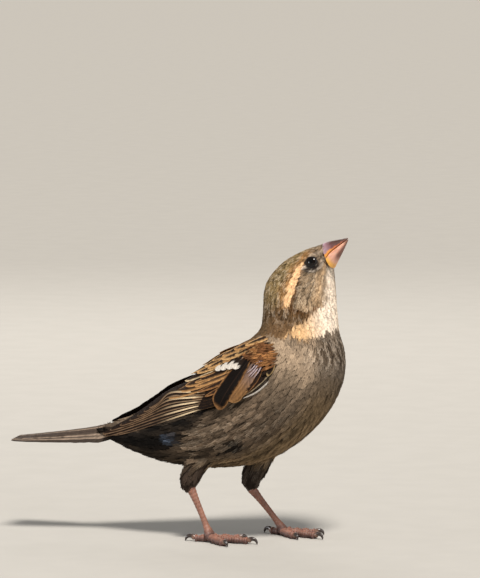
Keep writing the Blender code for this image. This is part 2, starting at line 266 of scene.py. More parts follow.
def relief(height, shader, strength, depth):
    """Gives the surface a fine relief of this depth in metres."""
    inputs = {"Height": height, "Strength": strength, "Distance": depth}
    feed(height.node("ShaderNodeBump", None, inputs), shader, "Normal")


def feather_finish(name, barb, roughness, strength, contrast):
    """Feather: its painted colour, combed into fine barbs that slant back from each shaft."""
    finish, nodes, shader = new_finish(name)
    colour = painted(nodes)
    vane = nodes.node("ShaderNodeUVMap", {"uv_map": "vane"})
    across = nodes.node("ShaderNodeSeparateXYZ", None, {0: vane}, 0)
    along = nodes.node("ShaderNodeSeparateXYZ", None, {0: vane}, 1)
    slanted = along * 100 - across.math("ABSOLUTE", across * 100 - 50) * 1.25
    comb = {0: slanted * (1 / barb), 1: across * 18, 2: 0.0}
    lines = nodes.node("ShaderNodeCombineXYZ", None, comb)
    combed = nodes.node("ShaderNodeTexNoise", {"noise_dimensions": "2D"}, {"Vector": lines, "Scale": 1.0})
    streak = combed.clamped(0.28, 0.72)
    # partly painted shade and highlight: the streaks darken and lighten the colour along and between the
    # barbs, over the barbs' own pattern; the same streaks give the real relief below
    dark = tinted(colour, (1 - contrast, 1 - contrast * 1.05, 1 - contrast * 1.1, 1), 1.0, "MULTIPLY")
    lit = (1 + contrast * 0.6, 1 + contrast * 0.55, 1 + contrast * 0.5, 1)
    light = tinted(colour, lit, 1.0, "MULTIPLY")
    feed(tinted(dark, light, streak), shader, "Base Color")
    feed(streak * -0.12 + (roughness + 0.06), shader, "Roughness")
    relief(streak, shader, strength, 0.00012)
    shader.inputs["Specular IOR Level"].default_value = 0.08
    return finish


# ---- Meshes -------------------------------------------------------------------------------------------


def only(*things):
    """Selects these objects and nothing else."""
    bpy.ops.object.select_all(action="DESELECT")
    for thing in things:
        thing.select_set(True)
        bpy.context.view_layer.objects.active = thing


def linked(name, data):
    """A new object, put in the scene."""
    thing = bpy.data.objects.new(name, data)
    bpy.context.scene.collection.objects.link(thing)
    return thing


@contextmanager
def editing():
    """Edit mode, with the whole mesh selected."""
    bpy.ops.object.mode_set(mode="EDIT")
    bpy.ops.mesh.select_all(action="SELECT")
    yield
    bpy.ops.object.mode_set(mode="OBJECT")


def modify(thing, kind, **settings):
    """Adds a modifier and applies it."""
    only(thing)
    made = thing.modifiers.new(kind, kind)
    for name, value in settings.items():
        setattr(made, name, value)
    bpy.ops.object.modifier_apply(modifier=made.name)


def in_metres(points):
    """Points in the form that a mesh takes."""
    return (points * MM).astype(np.float32).ravel()


def mesh_piece(name, points, faces, finish):
    """A piece from points in millimetres, and faces that all have the same number of corners."""
    mesh = bpy.data.meshes.new(name)
    corners = faces.shape[1]
    mesh.vertices.add(len(points))
    mesh.vertices.foreach_set("co", in_metres(points))
    mesh.loops.add(faces.size)
    mesh.loops.foreach_set("vertex_index", faces.astype(np.int32).ravel())
    mesh.polygons.add(len(faces))
    mesh.polygons.foreach_set("loop_start", np.arange(0, faces.size, corners, dtype=np.int32))
    mesh.update(calc_edges=True)
    mesh.materials.append(finish)
    return linked(name, mesh)


def add_colours(piece, colours):
    layer = piece.data.color_attributes.new("plumage", "FLOAT_COLOR", "POINT")
    rows = np.ones((len(colours), 4), np.float32)
    rows[:, :3] = np.clip(colours, 0, 1)
    layer.data.foreach_set("color", rows.ravel())


def read(rows, name, kind, width):
    """One value, of this width, from each of a mesh's points, faces or corners."""
    values = np.empty(len(rows) * width, kind)
    rows.foreach_get(name, values)
    return values.reshape(-1, width)


def add_map(piece, name, places):
    """A UV map from one place for each of the mesh's points."""
    layer = piece.data.uv_layers.new(name=name)
    corners = read(piece.data.loops, "vertex_index", np.int32, 1)[:, 0]
    layer.data.foreach_set("uv", places[corners].astype(np.float32).ravel())


def soften(piece, degrees):
    """Shades a piece smooth, but for its edges sharper than this."""
    only(piece)
    bpy.ops.object.shade_smooth_by_angle(angle=math.radians(degrees))


def mesh_points(thing):
    return read(thing.data.vertices, "co", np.float32, 3).astype(float) / MM


def move_points(thing, points):
    thing.data.vertices.foreach_set("co", in_metres(points))
    thing.data.update()


def on_body(piece, slot, *nodes):
    """Hides the CAD nodes that a piece stands for, and lets it ride on the body. The slot is not used."""
    if nodes:
        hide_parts(*nodes)
    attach(piece, "root")


# ---- The surfaces that the feathers lie on ------------------------------------------------------------

SWELL = 0.25
VOXEL = 0.5
SAME_POINT = 0.001
FLESH = (
    "head", "neck", "trunk", "thigh_left", "thigh_right", "wing_coverts_left", "wing_coverts_right"
)
EYE_NODES = ("eye_left", "eye_right")


def wrapped(name, nodes, relax):
    """One closed surface over these CAD nodes, with the thin cuts between them bridged."""
    only(*(linked(f"{name}_{node}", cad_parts[node].data.copy()) for node in nodes))
    bpy.ops.object.join()
    shell = bpy.context.object
    shell.name = name
    shell.data.materials.clear()
    with editing():
        bpy.ops.mesh.remove_doubles(threshold=SAME_POINT * MM)
    modify(shell, "DISPLACE", strength=SWELL * MM, mid_level=0)
    modify(shell, "REMESH", mode="VOXEL", voxel_size=VOXEL * MM)
    modify(shell, "SMOOTH", factor=0.5, iterations=relax)
    modify(shell, "DISPLACE", strength=-SWELL * MM, mid_level=0)
    return shell


class Guide:
    """A surface to lay feathers on. It finds the nearest point to a place, and the smooth normal there."""

    def __init__(self, shell):
        mesh = shell.data
        mesh.calc_loop_triangles()
        self.points = mesh_points(shell)
        self.normals = read(mesh.vertex_normals, "vector", np.float32, 3).astype(float)
        self.triangles = read(mesh.loop_triangles, "vertices", np.int32, 3)
        self.tree = BVHTree.FromPolygons(self.points.tolist(), self.triangles.tolist())

    def drop(self, places):
        """The nearest points on the surface, and their normals."""
        found = [self.tree.find_nearest(place) for place in places.tolist()]
        points = np.array([row[0] for row in found])
        index = np.array([row[2] for row in found])
        return points, unit(self.normals[self.triangles[index]].mean(1))


BILL_AHEAD = np.array((0.753, -0.160, 0.638))
BILL_RIDGE = np.array((-0.626, 0.133, 0.768))
HEAD_RIGHT = np.cross(BILL_AHEAD, BILL_RIDGE)
BILL_BASE = spine_points[0]
BILL_LENGTH = 9.6
EYE_SHIFT = np.array((1.0, 0.0, -0.25))
EYE_RADIUS = 2.7
EYE_OPENING = 1.68
EYE_STAND = math.sqrt(EYE_RADIUS**2 - EYE_OPENING**2)
RIM_REACH, RIM_SOFT, RIM_SLOPE = 3.1, 1.8, 0.30
SOCKET_FLOOR = 0.9
EYES = {}
eye_axes = {}
for side, hand in (("left", -1), ("right", 1)):
    low, high = (np.array(corner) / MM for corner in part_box(f"eye_{side}"))
    eye_axes[side] = unit(HEAD_RIGHT * hand + BILL_AHEAD * 0.10 + BILL_RIDGE * 0.20)
    EYES[side] = (low + high) / 2 + EYE_SHIFT + eye_axes[side] * 0.15


def from_eye(points, side):
    """Where points lie from an eye's centre, how far before it, and how far from its line of sight."""
    offset = points - EYES[side]
    front = offset @ eye_axes[side]
    return offset, front, np.linalg.norm(offset - front[:, None] * eye_axes[side], axis=1)


def round_the_eyes(shell, sunk, socket=False):
    """Brings a surface to each eye's rim, this far under it, and hollows it out inside if asked."""
    points = mesh_points(shell)
    for side, axis in eye_axes.items():
        _, front, radius = from_eye(points, side)
        rim = EYE_STAND - sunk - RIM_SLOPE * np.clip(radius - EYE_OPENING, 0, 9) ** 1.3
        moved = front + (rim - front) * (1 - above(radius, RIM_REACH, RIM_SOFT)) * (front > 0)
        if socket:
            hollow = (radius < EYE_OPENING - 0.05) & (front > 0)
            moved = np.where(hollow, np.minimum(front, SOCKET_FLOOR), moved)
        points = points + axis * (moved - front)[:, None]
    move_points(shell, points)


body_shell = wrapped("body_shell", (*FLESH, *EYE_NODES, "tail"), 14)
round_the_eyes(body_shell, 0.0)
body_guide = Guide(body_shell)


# ---- The colours of the plumage -----------------------------------------------------------------------
# Each marking lies between places along the chart, in millimetres, and angles round it, in degrees.

GREY_CROWN = paint(146, 124, 86)
WARM_CROWN = paint(172, 130, 84)
BROW = paint(234, 190, 144)
CHEEK = paint(156, 134, 108)
CHEEK_EDGE = paint(96, 66, 38)
LORE = paint(142, 122, 102)
THROAT = paint(234, 218, 200)
CREAM = paint(208, 170, 126)
NAPE = paint(94, 73, 52)
SHOULDER = paint(160, 140, 118)
# painted shade: the lower breast, flank, belly, undertail and thigh are darkened as in shade from above;
# the undertail is pale buff of its own
BREAST_IN_SHADE = paint(98, 85, 71)
FLANK_IN_SHADE = paint(92, 78, 64)
BELLY_IN_SHADE = paint(128, 107, 80)
UNDERTAIL_IN_SHADE = paint(44, 37, 30)
RUMP = paint(112, 96, 80)
MANTLE = paint(142, 104, 65)
STREAK = paint(32, 22, 16)
STRAW = paint(196, 160, 112)
CHESTNUT = paint(108, 72, 45)
THIGH_IN_SHADE = paint(52, 42, 35)
FROST = paint(206, 194, 176)
# painted shadow: near black for the shade under the folded wing
SHADOW_BLACK = paint(17, 14, 12)
EYE_RING = paint(52, 44, 40)
BLUISH_GREY = paint(76, 86, 102)

BROW_PLACES = (0, 3, 6.2, 8.4, 11.7, 16, 20.4, 26)
BROW_ANGLES = (58, 60, 66, 70, 79.5, 85.5, 82, 74)
BROW_WIDTHS = (2, 3, 6, 7.5, 9, 8.5, 6, 1)
CHEEK_END_ANGLES = (80, 94, 112, 127, 148, 180)
CHEEK_ENDS = (20, 21, 22.2, 21.9, 18.1, 16)
MALAR_PLACES = (0, 4, 9, 14, 18, 22)
MALAR_ANGLES = (126, 136, 143, 146, 148, 140)
COLLAR_START_ANGLES = (56, 79, 95, 114, 130, 148, 180)
COLLAR_STARTS = (34, 30, 27.6, 25.6, 22.5, 18.5, 17)
COLLAR_END_ANGLES = (50, 80, 100, 118, 180)
COLLAR_ENDS = (29.5, 31.4, 31.8, 32.2, 31.0)
# The lower edge of the painted shadow under the wing, as places along the chart and angles round it.
WING_SHADOW_EDGE_PLACES = (66, 74, 82, 88, 92, 100)
WING_SHADOW_EDGE_ANGLES = (60, 72, 80, 90, 98, 112)


def round_eye(points):
    """How far each point is from the nearer eye's line of sight, and how far it is below and behind it."""
    reach = np.full(len(points), 99.0)
    below, behind = np.zeros(len(points)), np.zeros(len(points))
    for side in EYES:
        offset, front, radius = from_eye(points, side)
        near = (front > 0) & (radius < reach)
        reach = np.where(near, radius, reach)
        below = np.where(near, -offset @ BILL_RIDGE, below)
        behind = np.where(near, -offset @ BILL_AHEAD, behind)
    return reach, below, behind


def eye_reach(points):
    return round_eye(points)[0]


def strands(place, angle):
    """Where the coat bunches into long locks along its lie, from about -1 to 1."""
    side = np.abs(angle)
    return wobble(np.stack((side * 0.45, place * 0.16, angle * 0.1), -1), 2.4)


class Spots:
    """Places on the bird, the lines that its markings and its painted light and shade follow there, and
    random values for them.
    """

    def __init__(self, points, place, angle):
        self.points, self.place, self.angle = points, place, angle
        self.side = side = np.abs(angle)
        self.patch, self.fine, self.fleck = (wobble(points, size) for size in (5.0, 1.6, 0.75))
        self.hairs = wobble(np.stack((side * 1.0, place * 0.2, angle * 0.2), -1), 1.7)
        self.brow = np.interp(place, BROW_PLACES, BROW_ANGLES)
        self.brow_width = np.interp(place, BROW_PLACES, BROW_WIDTHS)
        self.malar = np.interp(place, MALAR_PLACES, MALAR_ANGLES)
        self.collar_end = np.interp(side, COLLAR_END_ANGLES, COLLAR_ENDS) + 0.5 * self.fine
        # the lower edge of the painted shadow under the wing
        self.wing_shadow_edge = np.interp(place, WING_SHADOW_EDGE_PLACES, WING_SHADOW_EDGE_ANGLES)
        below_wing = above(side + 3 * self.fine, self.wing_shadow_edge, 5)
        # painted light: the flank just below the painted wing shadow, to be painted lighter
        self.lit = below_wing * between(place, 60, 90, 6) * (1 - above(side, 128, 10))
        belly = 0.6 * above(side, 105, 20) * between(place, 50, 90, 10)
        # wisps: the belly's hairs, and stronger on the painted lit flank
        self.wisps_and_lit_flank = np.clip(self.lit + belly, 0, 1)
        self.back = (1 - above(side + 3 * self.patch, 50, 12)) * above(place, 33, 3)


def head_colours(spots):
    """Crown, ear coverts, lore and brow, and where the ear coverts and the pale brow are."""
    place, side, brow, width = spots.place, spots.side, spots.brow, spots.brow_width
    body = mix(GREY_CROWN, WARM_CROWN, above(side + 6 * spots.patch, brow - 26, 26))
    body = mix(body, NAPE, above(place, 21, 7) * 0.9)
    cheek_end = np.interp(side, CHEEK_END_ANGLES, CHEEK_ENDS)
    cheek = above(side, brow + width, 5) * (1 - above(place, cheek_end, 0.8))
    cheek_streak = wobble(np.stack((side * 0.2, place * 0.24, side * 0), -1), 0.8)
    body = mix(body, CHEEK * (1 + 0.34 * cheek_streak)[:, None], cheek)
    body = mix(body, LORE, (1 - above(place, 2.8, 2.5)) * 0.75)
    rim = above(place, cheek_end - 1.2, 0.9) * (1 - above(place, cheek_end + 1.0, 1.4))
    rim = rim * between(side, 84, 142, 10)
    body = mix(body, CHEEK_EDGE, np.clip(rim * (0.9 + 0.4 * spots.fine), 0, 1))
    under_brow = between(side, brow + width, brow + width + 7, 4) * between(place, 6.0, 21, 2)
    body = mix(body, CHEEK_EDGE, under_brow * 0.85)
    pale = between(side, brow - width, brow + width, 3) * between(place, 5.2, 21, 1.4)
    body = mix(body, BROW, pale)
    fore = between(side, brow - 7, brow + 4, 8) * (1 - above(place, 3.4, 2))
    return mix(body, THROAT, fore * 0.35), cheek, pale


def with_throat(spots, body):
    """The pale throat and the collar behind the ear coverts, laid over the head's colours."""
    place, side, fine, malar = spots.place, spots.side, spots.fine, spots.malar
    body = mix(body, CREAM, between(side, malar - 16, malar, 12) * (1 - above(place, 19, 5)) * 0.35)
    body = mix(body, THROAT, above(side + 5 * fine, malar + 11, 26) * (1 - above(place, 30, 3)))
    collar_start = np.interp(side, COLLAR_START_ANGLES, COLLAR_STARTS)
    collar = above(place + 0.4 * fine, collar_start, 2.0) * (1 - above(place, spots.collar_end, 1.6))
    return mix(body, mix(CREAM, THROAT, above(side, 130, 50)), collar)


def with_eye_rings(spots, body):
    """A dark ring close round the eye, and below it a pale crescent and a second dark ring."""
    reach, below, behind = round_eye(spots.points)
    ring = np.hypot((behind - 0.3) / 1.2, np.maximum(below / 1.25, -below))
    ring = np.where(reach < 9, ring, 9)
    body = mix(body, EYE_RING, 1 - above(ring, 2.5, 0.5))
    lower = above(below, 1.2, 1.0)
    crescent = between(reach, 3.2, 3.8, 0.4) * lower * (1 - above(behind, 1.8, 1.2))
    body = mix(body, THROAT * 0.8, crescent * 0.5)
    body = mix(body, EYE_RING, between(reach, 3.9, 4.4, 0.4) * lower * 0.5)
    rear = between(behind, 2.3, 3.7, 0.6) * between(below, -0.9, 0.1, 0.6)
    return mix(body, THROAT, rear * (reach < 4.2) * 0.6)


def with_wing_shade(spots, trunk):
    """Painted shadow in near black close under the folded wing and on the rear flank, a small dark spot
    low on the flank, and a bluish patch near the shadow's end.
    """
    place, side, fine = spots.place, spots.side, spots.fine
    # painted shadow: near black under the folded wing, down to the shadow's lower edge
    wing_shadow_and_spot = (1 - above(side + 3 * fine, spots.wing_shadow_edge, 6)) * above(place, 70, 9) * above(side, 46, 10)
    # painted shadow over the rear flank
    wing_shadow_and_spot = np.maximum(wing_shadow_and_spot * 0.95, between(side, 54, 104, 16) * between(place, 91, 106, 7))
    # a small dark spot low on the flank, in the same near black
    wing_shadow_and_spot = np.maximum(wing_shadow_and_spot, between(side, 114, 128, 6) * between(place, 69.5, 74.5, 2.5))
    trunk = mix(trunk, SHADOW_BLACK, np.clip(wing_shadow_and_spot * (0.92 + 0.15 * fine), 0, 1))
    # a bluish grey patch near the end of the painted shadow
    bluish = between(side, 82, 98, 8) * between(place, 90.5, 95.5, 3)
    return mix(trunk, BLUISH_GREY, bluish * (0.5 + 0.3 * fine))


def trunk_colours(spots):
    """Breast, shoulder, flank, belly, back and thigh, in fine hairs and locks, with painted light and
    shade.
    """
    place, side, patch = spots.place, spots.side, spots.patch
    # painted shade: the lower breast, flank, belly, undertail and thigh take their darkened colours, while
    # the shoulder keeps a lighter one
    trunk = mix(BREAST_IN_SHADE, FLANK_IN_SHADE, above(place + 3 * patch, 52, 22))
    trunk = mix(trunk, BELLY_IN_SHADE, above(side, 138, 26) * above(place, 44, 12))
    trunk = mix(trunk, UNDERTAIL_IN_SHADE, above(place, 94, 14) * above(side, 70, 20))
    trunk = mix(trunk, SHOULDER, between(side, 36, 128, 18) * (1 - above(place + 2 * patch, 43.5, 13)))
    trunk = mix(trunk, MANTLE, spots.back)
    trunk = mix(trunk, RUMP, (1 - above(side, 72, 16)) * above(place, 84, 10))
    # painted light on the flank below the wing's shadow, then the painted shadow under the wing
    trunk = with_wing_shade(spots, trunk * (1 + 0.13 * spots.lit)[:, None])
    trunk = mix(trunk, THIGH_IN_SHADE, 1 - above(spots.points[:, 2], 26.5, 5))
    # partly painted light and shade: lighter crests and darker gaps along the coat's long locks, over
    # their own uneven tone
    lock_light_and_shade = 0.32 * strands(place, spots.angle) * above(place, 44, 20)
    hairy = lock_light_and_shade + 0.36 * spots.hairs * spots.wisps_and_lit_flank
    return trunk * (1 + hairy + 0.10 * spots.fine)[:, None]


def plumage(points, place, angle):
    """The colour of each feather, of its edges and of its heart, and the width of that heart."""
    spots = Spots(points, place, angle)
    side, fleck = spots.side, spots.fleck
    body, cheek, pale = head_colours(spots)
    body = with_eye_rings(spots, with_throat(spots, body))
    chest = above(place, spots.collar_end, 1.6)
    body = mix(body, trunk_colours(spots), chest)

    light = above(body.mean(1), 0.42, 0.3)
    speckled = (1 - above(place, 26, 6)) * (1 - cheek * 0.3) * (1 - light) * (1 - pale)
    speckled = speckled * (1 - 0.8 * above(side, spots.malar - 8, 20))
    body = body * (1 + 0.48 * fleck * speckled)[:, None]
    # painted light: the feather edges on the lit flank are brightened
    edge = body * (1.14 + 0.16 * spots.lit * chest)[:, None]
    # partly painted highlight: pale strands on the lit flank, with the belly's own pale wisps
    edge = mix(edge, FROST * 0.7, above(spots.hairs, 0.4, 0.4) * spots.wisps_and_lit_flank * chest * 0.3)
    heart = body * (0.80 + 0.14 * light - 0.58 * speckled)[:, None]
    edge = edge * (1 + 0.48 * speckled)[:, None]
    edge = mix(edge, FROST, above(fleck, 0.3, 0.3) * speckled * 0.55)
    body = mix(body, FROST, above(fleck, 0.5, 0.3) * speckled * 0.22)
    core = 0.3 + 0.25 * speckled

    streaked = spots.back * (1 - above(place, 84, 10))
    heart = mix(heart, STREAK, streaked)
    edge = mix(edge, STRAW, streaked * 0.7)
    core = core + 0.45 * streaked

    flecked = above(side, 112, 18)
    mottle = between(place, 31.5, 37.5, 4) * flecked * above(wobble(points, 0.8), 0.0, 0.5)
    mottle = np.maximum(mottle, 0.9 * between(place, 32.0, 33.8, 0.8) * between(side, 80, 132, 8))
    heart = mix(heart, STREAK, mottle * 0.9)
    body = mix(body, STREAK, mottle * 0.5)
    edge = mix(edge, THROAT * 0.8, between(place, 31.5, 38, 4) * flecked * (1 - mottle) * 0.6)
    return body, edge, heart, core


# ---- Small feathers -----------------------------------------------------------------------------------

TRACE_STEPS = 4
SEEN = 3  # the step of a feather's path whose place on the body gives its colours
small_feather = feather_finish("small_feather_barbs", 0.34, 0.8, 0.4, 0.24)


def lie_of_coat(points):
    """The way that the feathers point: away from the bill, and down the thighs."""
    _, _, way = chart(points)
    on_thigh = 1 - above(points[:, 2], 27, 5)
    aft_leg = np.array((-0.36, 0.0, -0.93))
    return unit(mix(way, aft_leg, on_thigh))


def trace(guide, roots, ups, lengths, swing, lie):
    """The path that each feather lies along: its points, and the outward way at each."""
    points, paths, outs = roots, [roots], [ups]
    turn = np.radians(swing)[:, None]
    for _ in range(TRACE_STEPS):
        way = lie(points)
        way = unit(way - (way * ups).sum(1, keepdims=True) * ups)
        way = way * np.cos(turn) + np.cross(ups, way) * np.sin(turn)
        points, ups = guide.drop(points + way * (lengths / TRACE_STEPS)[:, None])
        paths.append(points)
        outs.append(ups)
    return np.stack(paths, 1), np.stack(outs, 1)


LAST_STATION = 0.93
NOTCH_REACH = 0.7


def plume_net(barbs, bare, slant):
    """The net of one small feather: a thin closed leaf whose edges end in slanted locks of barbs.

    It gives each point's place along the shaft, its share of the half width, its height as a sign, its
    kind (0 shaft, 1 notch, 2 lock tip), and the triangles.
    """
    stations = np.linspace(bare, LAST_STATION, barbs + 1)
    along, across, height, kind = [0.0], [0.0], [0.0], [0]

    def add(t, w, h, k):
        along.append(t)
        across.append(w)
        height.append(h)
        kind.append(k)
        return len(along) - 1

    top = [add(t, 0, 1, 0) for t in stations]
    under = [add(t, 0, -1, 0) for t in stations]
    end = add(1.0, 0, 0, 2)
    triangles = []
    for hand in (-1, 1):
        notches = [add(t + slant * 0.5, NOTCH_REACH * hand, 0, 1) for t in stations]
        tips = []
        for first, second in zip(stations[:-1], stations[1:]):
            tips.append(add((first + second) / 2 + slant, hand, 0, 2))
        for shaft, facing in ((top, 1), (under, -1)):
            net = [(0, shaft[0], notches[0]), (shaft[-1], end, notches[-1])]
            for index in range(barbs):
                net.append((shaft[index], shaft[index + 1], tips[index]))
                net.append((shaft[index], tips[index], notches[index]))
                net.append((shaft[index + 1], notches[index + 1], tips[index]))
            flip = hand * facing < 0
            triangles += [(a, c, b) if flip else (a, b, c) for a, b, c in net]
    return np.array(along), np.array(across), np.array(height), np.array(kind), np.array(triangles)


def leaf_width(t):
    """A small feather's half width along its shaft, as a share of its greatest."""
    root = 0.3 + 0.7 * np.clip(t / 0.5, 0, 1)
    return root * np.sqrt(np.clip(1 - (np.clip(t - 0.45, 0, 0.55) / 0.62) ** 2, 0.05, 1))


THICKNESS = 0.04
PATCH_WIDTH, PATCH_LENGTH = 0.0013, 0.0026


def plumes(name, coat, net, ruffle, uneven, slot):
    """One joined piece of small feathers. coat holds each feather's path, sizes and colours."""
    along, across, height, kind, triangles = net
    paths, outs = coat["paths"], coat["outs"]
    count, corners = len(paths), len(along)
    length, half = coat["length"][:, None], coat["half"][:, None]
    lock = rng.uniform(0.8, 1.2, (count, corners))
    t = along + np.where(kind == 2, rng.uniform(-0.05, 0.09, (count, corners)), 0)
    w = across * leaf_width(np.clip(along, 0, 1)) * half * np.where(kind == 2, lock, 1)
    step = np.clip((t * TRACE_STEPS).astype(int), 0, TRACE_STEPS - 1)
    share = (t * TRACE_STEPS - step)[..., None]
    row = np.arange(count)[:, None]
    here, ahead = paths[row, step], paths[row, step + 1]
    up = unit(outs[row, step] * (1 - share) + outs[row, step + 1] * share)
    sideways = unit(np.cross(ahead - here, up))
    sunk = -coat["depth"][:, None] * np.clip(1 - t, 0, 1) ** 1.3
    sunk = sunk + coat["rise"][:, None] * t**2
    sunk = sunk + height * THICKNESS - 0.5 * w**2 / (half * 6)
    sunk = sunk + np.where(kind == 2, rng.normal(0, ruffle, (count, corners)), 0)
    points = blend(here, ahead, share) + sideways * w[..., None] + up * sunk[..., None]

    body, edge = coat["body"][:, None], coat["edge"][:, None]
    heart, core = coat["heart"][:, None], coat["core"][:, None]
    reach = np.abs(across) * np.where(kind == 2, 1.0, 0.9)
    colour = mix(heart, body, above(reach, core, 0.35))
    colour = mix(colour, edge, above(reach + 0.5 * np.clip(t - 0.55, 0, 1), 1.0, 0.5))
    colour = mix(colour * 0.78, colour, above(t, 0.42, 0.5))
    # painted shadow: the notches between the barbs' locks are darkened; the rest is random tone for each
    # point and each feather
    shade = np.where(kind == 1, 0.93, 1.0) * rng.normal(1, 0.08, (count, corners))
    shade = shade * rng.normal(1, uneven, (count, 1))
    colour = colour * np.clip(shade, 0.5, 1.5)[..., None]

    faces = triangles[None] + (np.arange(count) * corners)[:, None, None]
    piece = mesh_piece(name, points.reshape(-1, 3), faces.reshape(-1, 3), small_feather)
    add_colours(piece, colour.reshape(-1, 3))
    spread = np.stack((0.5 + w * 0.01, t * length * 0.01), -1)
    add_map(piece, "vane", spread.reshape(-1, 2))
    patch = np.stack((across * PATCH_WIDTH + 0 * t, (t - 0.5) * PATCH_LENGTH), -1)
    add_map(piece, "OFBake", (patch + coat["bake"][:, None]).reshape(-1, 2))
    soften(piece, 50)
    on_body(piece, slot)


MAP_MARGIN, MAP_SPAN = 0.03, 0.94


def bake_place(place, angle):
    """Where a root lies on an unwrap of the skin: round the body, and along it."""
    round_body = 0.5 + angle / 360 * MAP_SPAN
    return np.stack((round_body, MAP_MARGIN + np.clip(place / BODY_LENGTH, 0, 1) * MAP_SPAN), -1)


CELL = 2.6
TRIES_PER_ROOT = 9


def scattered(guide, gap_at, keep):
    """Evenly scattered roots on a surface, closer where gap_at says, and only where keep says."""
    corners = guide.points[guide.triangles]
    middles = corners.mean(1)
    sides = corners[:, 1] - corners[:, 0], corners[:, 2] - corners[:, 0]
    area = np.linalg.norm(np.cross(*sides), axis=1) / 2
    gaps = gap_at(middles)
    weight = np.where(keep(middles), area / gaps**2, 0)
    tries = int(weight.sum() * TRIES_PER_ROOT)
    chosen = rng.choice(len(weight), tries, p=weight / weight.sum())
    spread = np.sqrt(rng.random((tries, 1))), rng.random((tries, 1))
    one, two, three = corners[chosen, 0], corners[chosen, 1], corners[chosen, 2]
    places = one * (1 - spread[0]) + spread[0] * (two * (1 - spread[1]) + three * spread[1])
    taken, kept = {}, []
    for index, (place, room) in enumerate(zip(places.tolist(), gaps[chosen].tolist())):
        key = tuple(int(value // CELL) for value in place)
        near = (
            other
            for x in (-1, 0, 1)
            for y in (-1, 0, 1)
            for z in (-1, 0, 1)
            for other in taken.get((key[0] + x, key[1] + y, key[2] + z), ())
        )
        if all(math.dist(place, other) > room for other in near):
            taken.setdefault(key, []).append(place)
            kept.append(index)
    return guide.drop(places[kept])


SIZES_AT = (0, 4, 9, 15, 21, 28, 36, 50, 90, 105, 120)
GAPS = (0.40, 0.46, 0.52, 0.60, 0.64, 0.68, 0.82, 1.02, 1.15, 1.3, 1.4)
LENGTHS = (1.4, 1.9, 2.5, 3.1, 3.5, 4.0, 5.0, 6.6, 7.6, 8.5, 8.0)
HALF_WIDTHS = (0.31, 0.38, 0.45, 0.54, 0.60, 0.64, 0.78, 0.86, 0.88, 1.2, 1.3)
DEPTHS = (0.25, 0.30, 0.38, 0.45, 0.52, 0.6, 0.7, 0.85, 0.95, 0.85, 0.5)


def size_at(points, row):
    """A size from its row along the body, made small again down the thighs and round the eyes."""
    place, _, _ = chart(points)
    on_body, on_thigh, by_eye = (np.interp(at, SIZES_AT, row) for at in (place, 18, 1.0))
    size = blend(on_body, on_thigh, 1 - above(points[:, 2], 26, 5))
    return blend(size, by_eye, 1 - above(eye_reach(points), 3.2, 1.6))


def coat_rows(roots, traced, colours, length, half, depth, rise):
    """All that plumes needs to know of some feathers."""
    place, angle, _ = chart(roots)
    paths, outs = traced
    body, edge, heart, core = colours
    return {
        "paths": paths,
        "outs": outs,
        "length": length,
        "half": half,
        "depth": depth,
        "rise": rise,
        "body": body,
        "edge": edge,
        "heart": heart,
        "core": core,
        "bake": bake_place(place, angle),
        "place": place,
        "side": np.abs(angle),
    }


def coat_of(guide, roots, ups):
    """The body's coat, from its roots."""
    count = len(roots)
    length = size_at(roots, LENGTHS) * rng.uniform(0.88, 1.14, count)
    traced = trace(guide, roots, ups, length, rng.normal(0, 7, count), lie_of_coat)
    seen = traced[0][:, SEEN]
    place, angle, _ = chart(seen)
    bunched = 0.4 * np.clip(strands(place, angle), 0, 1) * above(place, 56, 14)
    half = size_at(roots, HALF_WIDTHS) * rng.uniform(0.88, 1.12, count)
    rise = rng.uniform(-0.04, 0.14, count) * length / 8 + bunched
    return coat_rows(
        roots, traced, plumage(seen, place, angle), length, half, size_at(roots, DEPTHS), rise
    )


def part_of(coat, mask):
    return {name: value[mask] for name, value in coat.items()}


# ---- Skin and small feathers --------------------------------------------------------------------------


def make_skin():
    """One skin under all the feathers. It lies deeper where the coat is deeper."""
    skin = wrapped("skin", (*FLESH, *EYE_NODES), 10)
    guide = Guide(skin)
    depth = size_at(guide.points, DEPTHS) + 0.1
    in_leg = 1 - above(guide.points[:, 2], 21, 2)
    depth = blend(depth, 0.45, in_leg)
    move_points(skin, guide.points - guide.normals * depth[:, None])
    modify(skin, "SMOOTH", factor=0.5, iterations=4)
    round_the_eyes(skin, 0.12, socket=True)
    place, angle, _ = chart(guide.points)
    body, _, heart, _ = plumage(guide.points, place, angle)
    add_colours(skin, body * 0.5 + heart * 0.35)
    finish, nodes, shader = new_finish("downy_skin")
    down = noise(place_on(nodes), 1800.0, 3.0)
    shade = tinted(painted(nodes), (0.55, 0.5, 0.46, 1), down.clamped(0.35, 0.65) * 0.6, "MULTIPLY")
    feed(shade, shader, "Base Color")
    feed(down * 0.1 + 0.82, shader, "Roughness")
    relief(down, shader, 0.6, 0.0003)
    skin.data.materials.append(finish)
    soften(skin, 80)
    on_body(skin, "plumage_flank", *FLESH)


WING_FACE = (
    (38.2, 71.2), (40.6, 66.6), (39.2, 61.4), (35.0, 56.6), (27.0, 52.4), (18.0, 49.6), (9.0, 47.9),
    (-3.0, 44.4), (-14.0, 40.6), (-24.5, 36.2), (-27.0, 37.6), (-14.0, 45.0), (-3.0, 49.8), (10.0, 58.0),
    (20.0, 64.0), (30.0, 69.8),
)
WING_LIFT_AT = (-27.3, -20.3, -11.8, -3.0, 6.3, 15.5, 24.9, 33.6, 40.0)
WING_LIFT = tuple(3.2 * (place / 8) ** 1.2 for place in range(8, -1, -1))
TAIL_ROOT_AHEAD = -27.5
THIGH_END_UP = 16.6
THIGH_UP = 25.5
HEAD_END, NECK_END, BREAST_END = 22, 36, 62
BREAST_ANGLE, BELLY_ANGLE = 95, 110


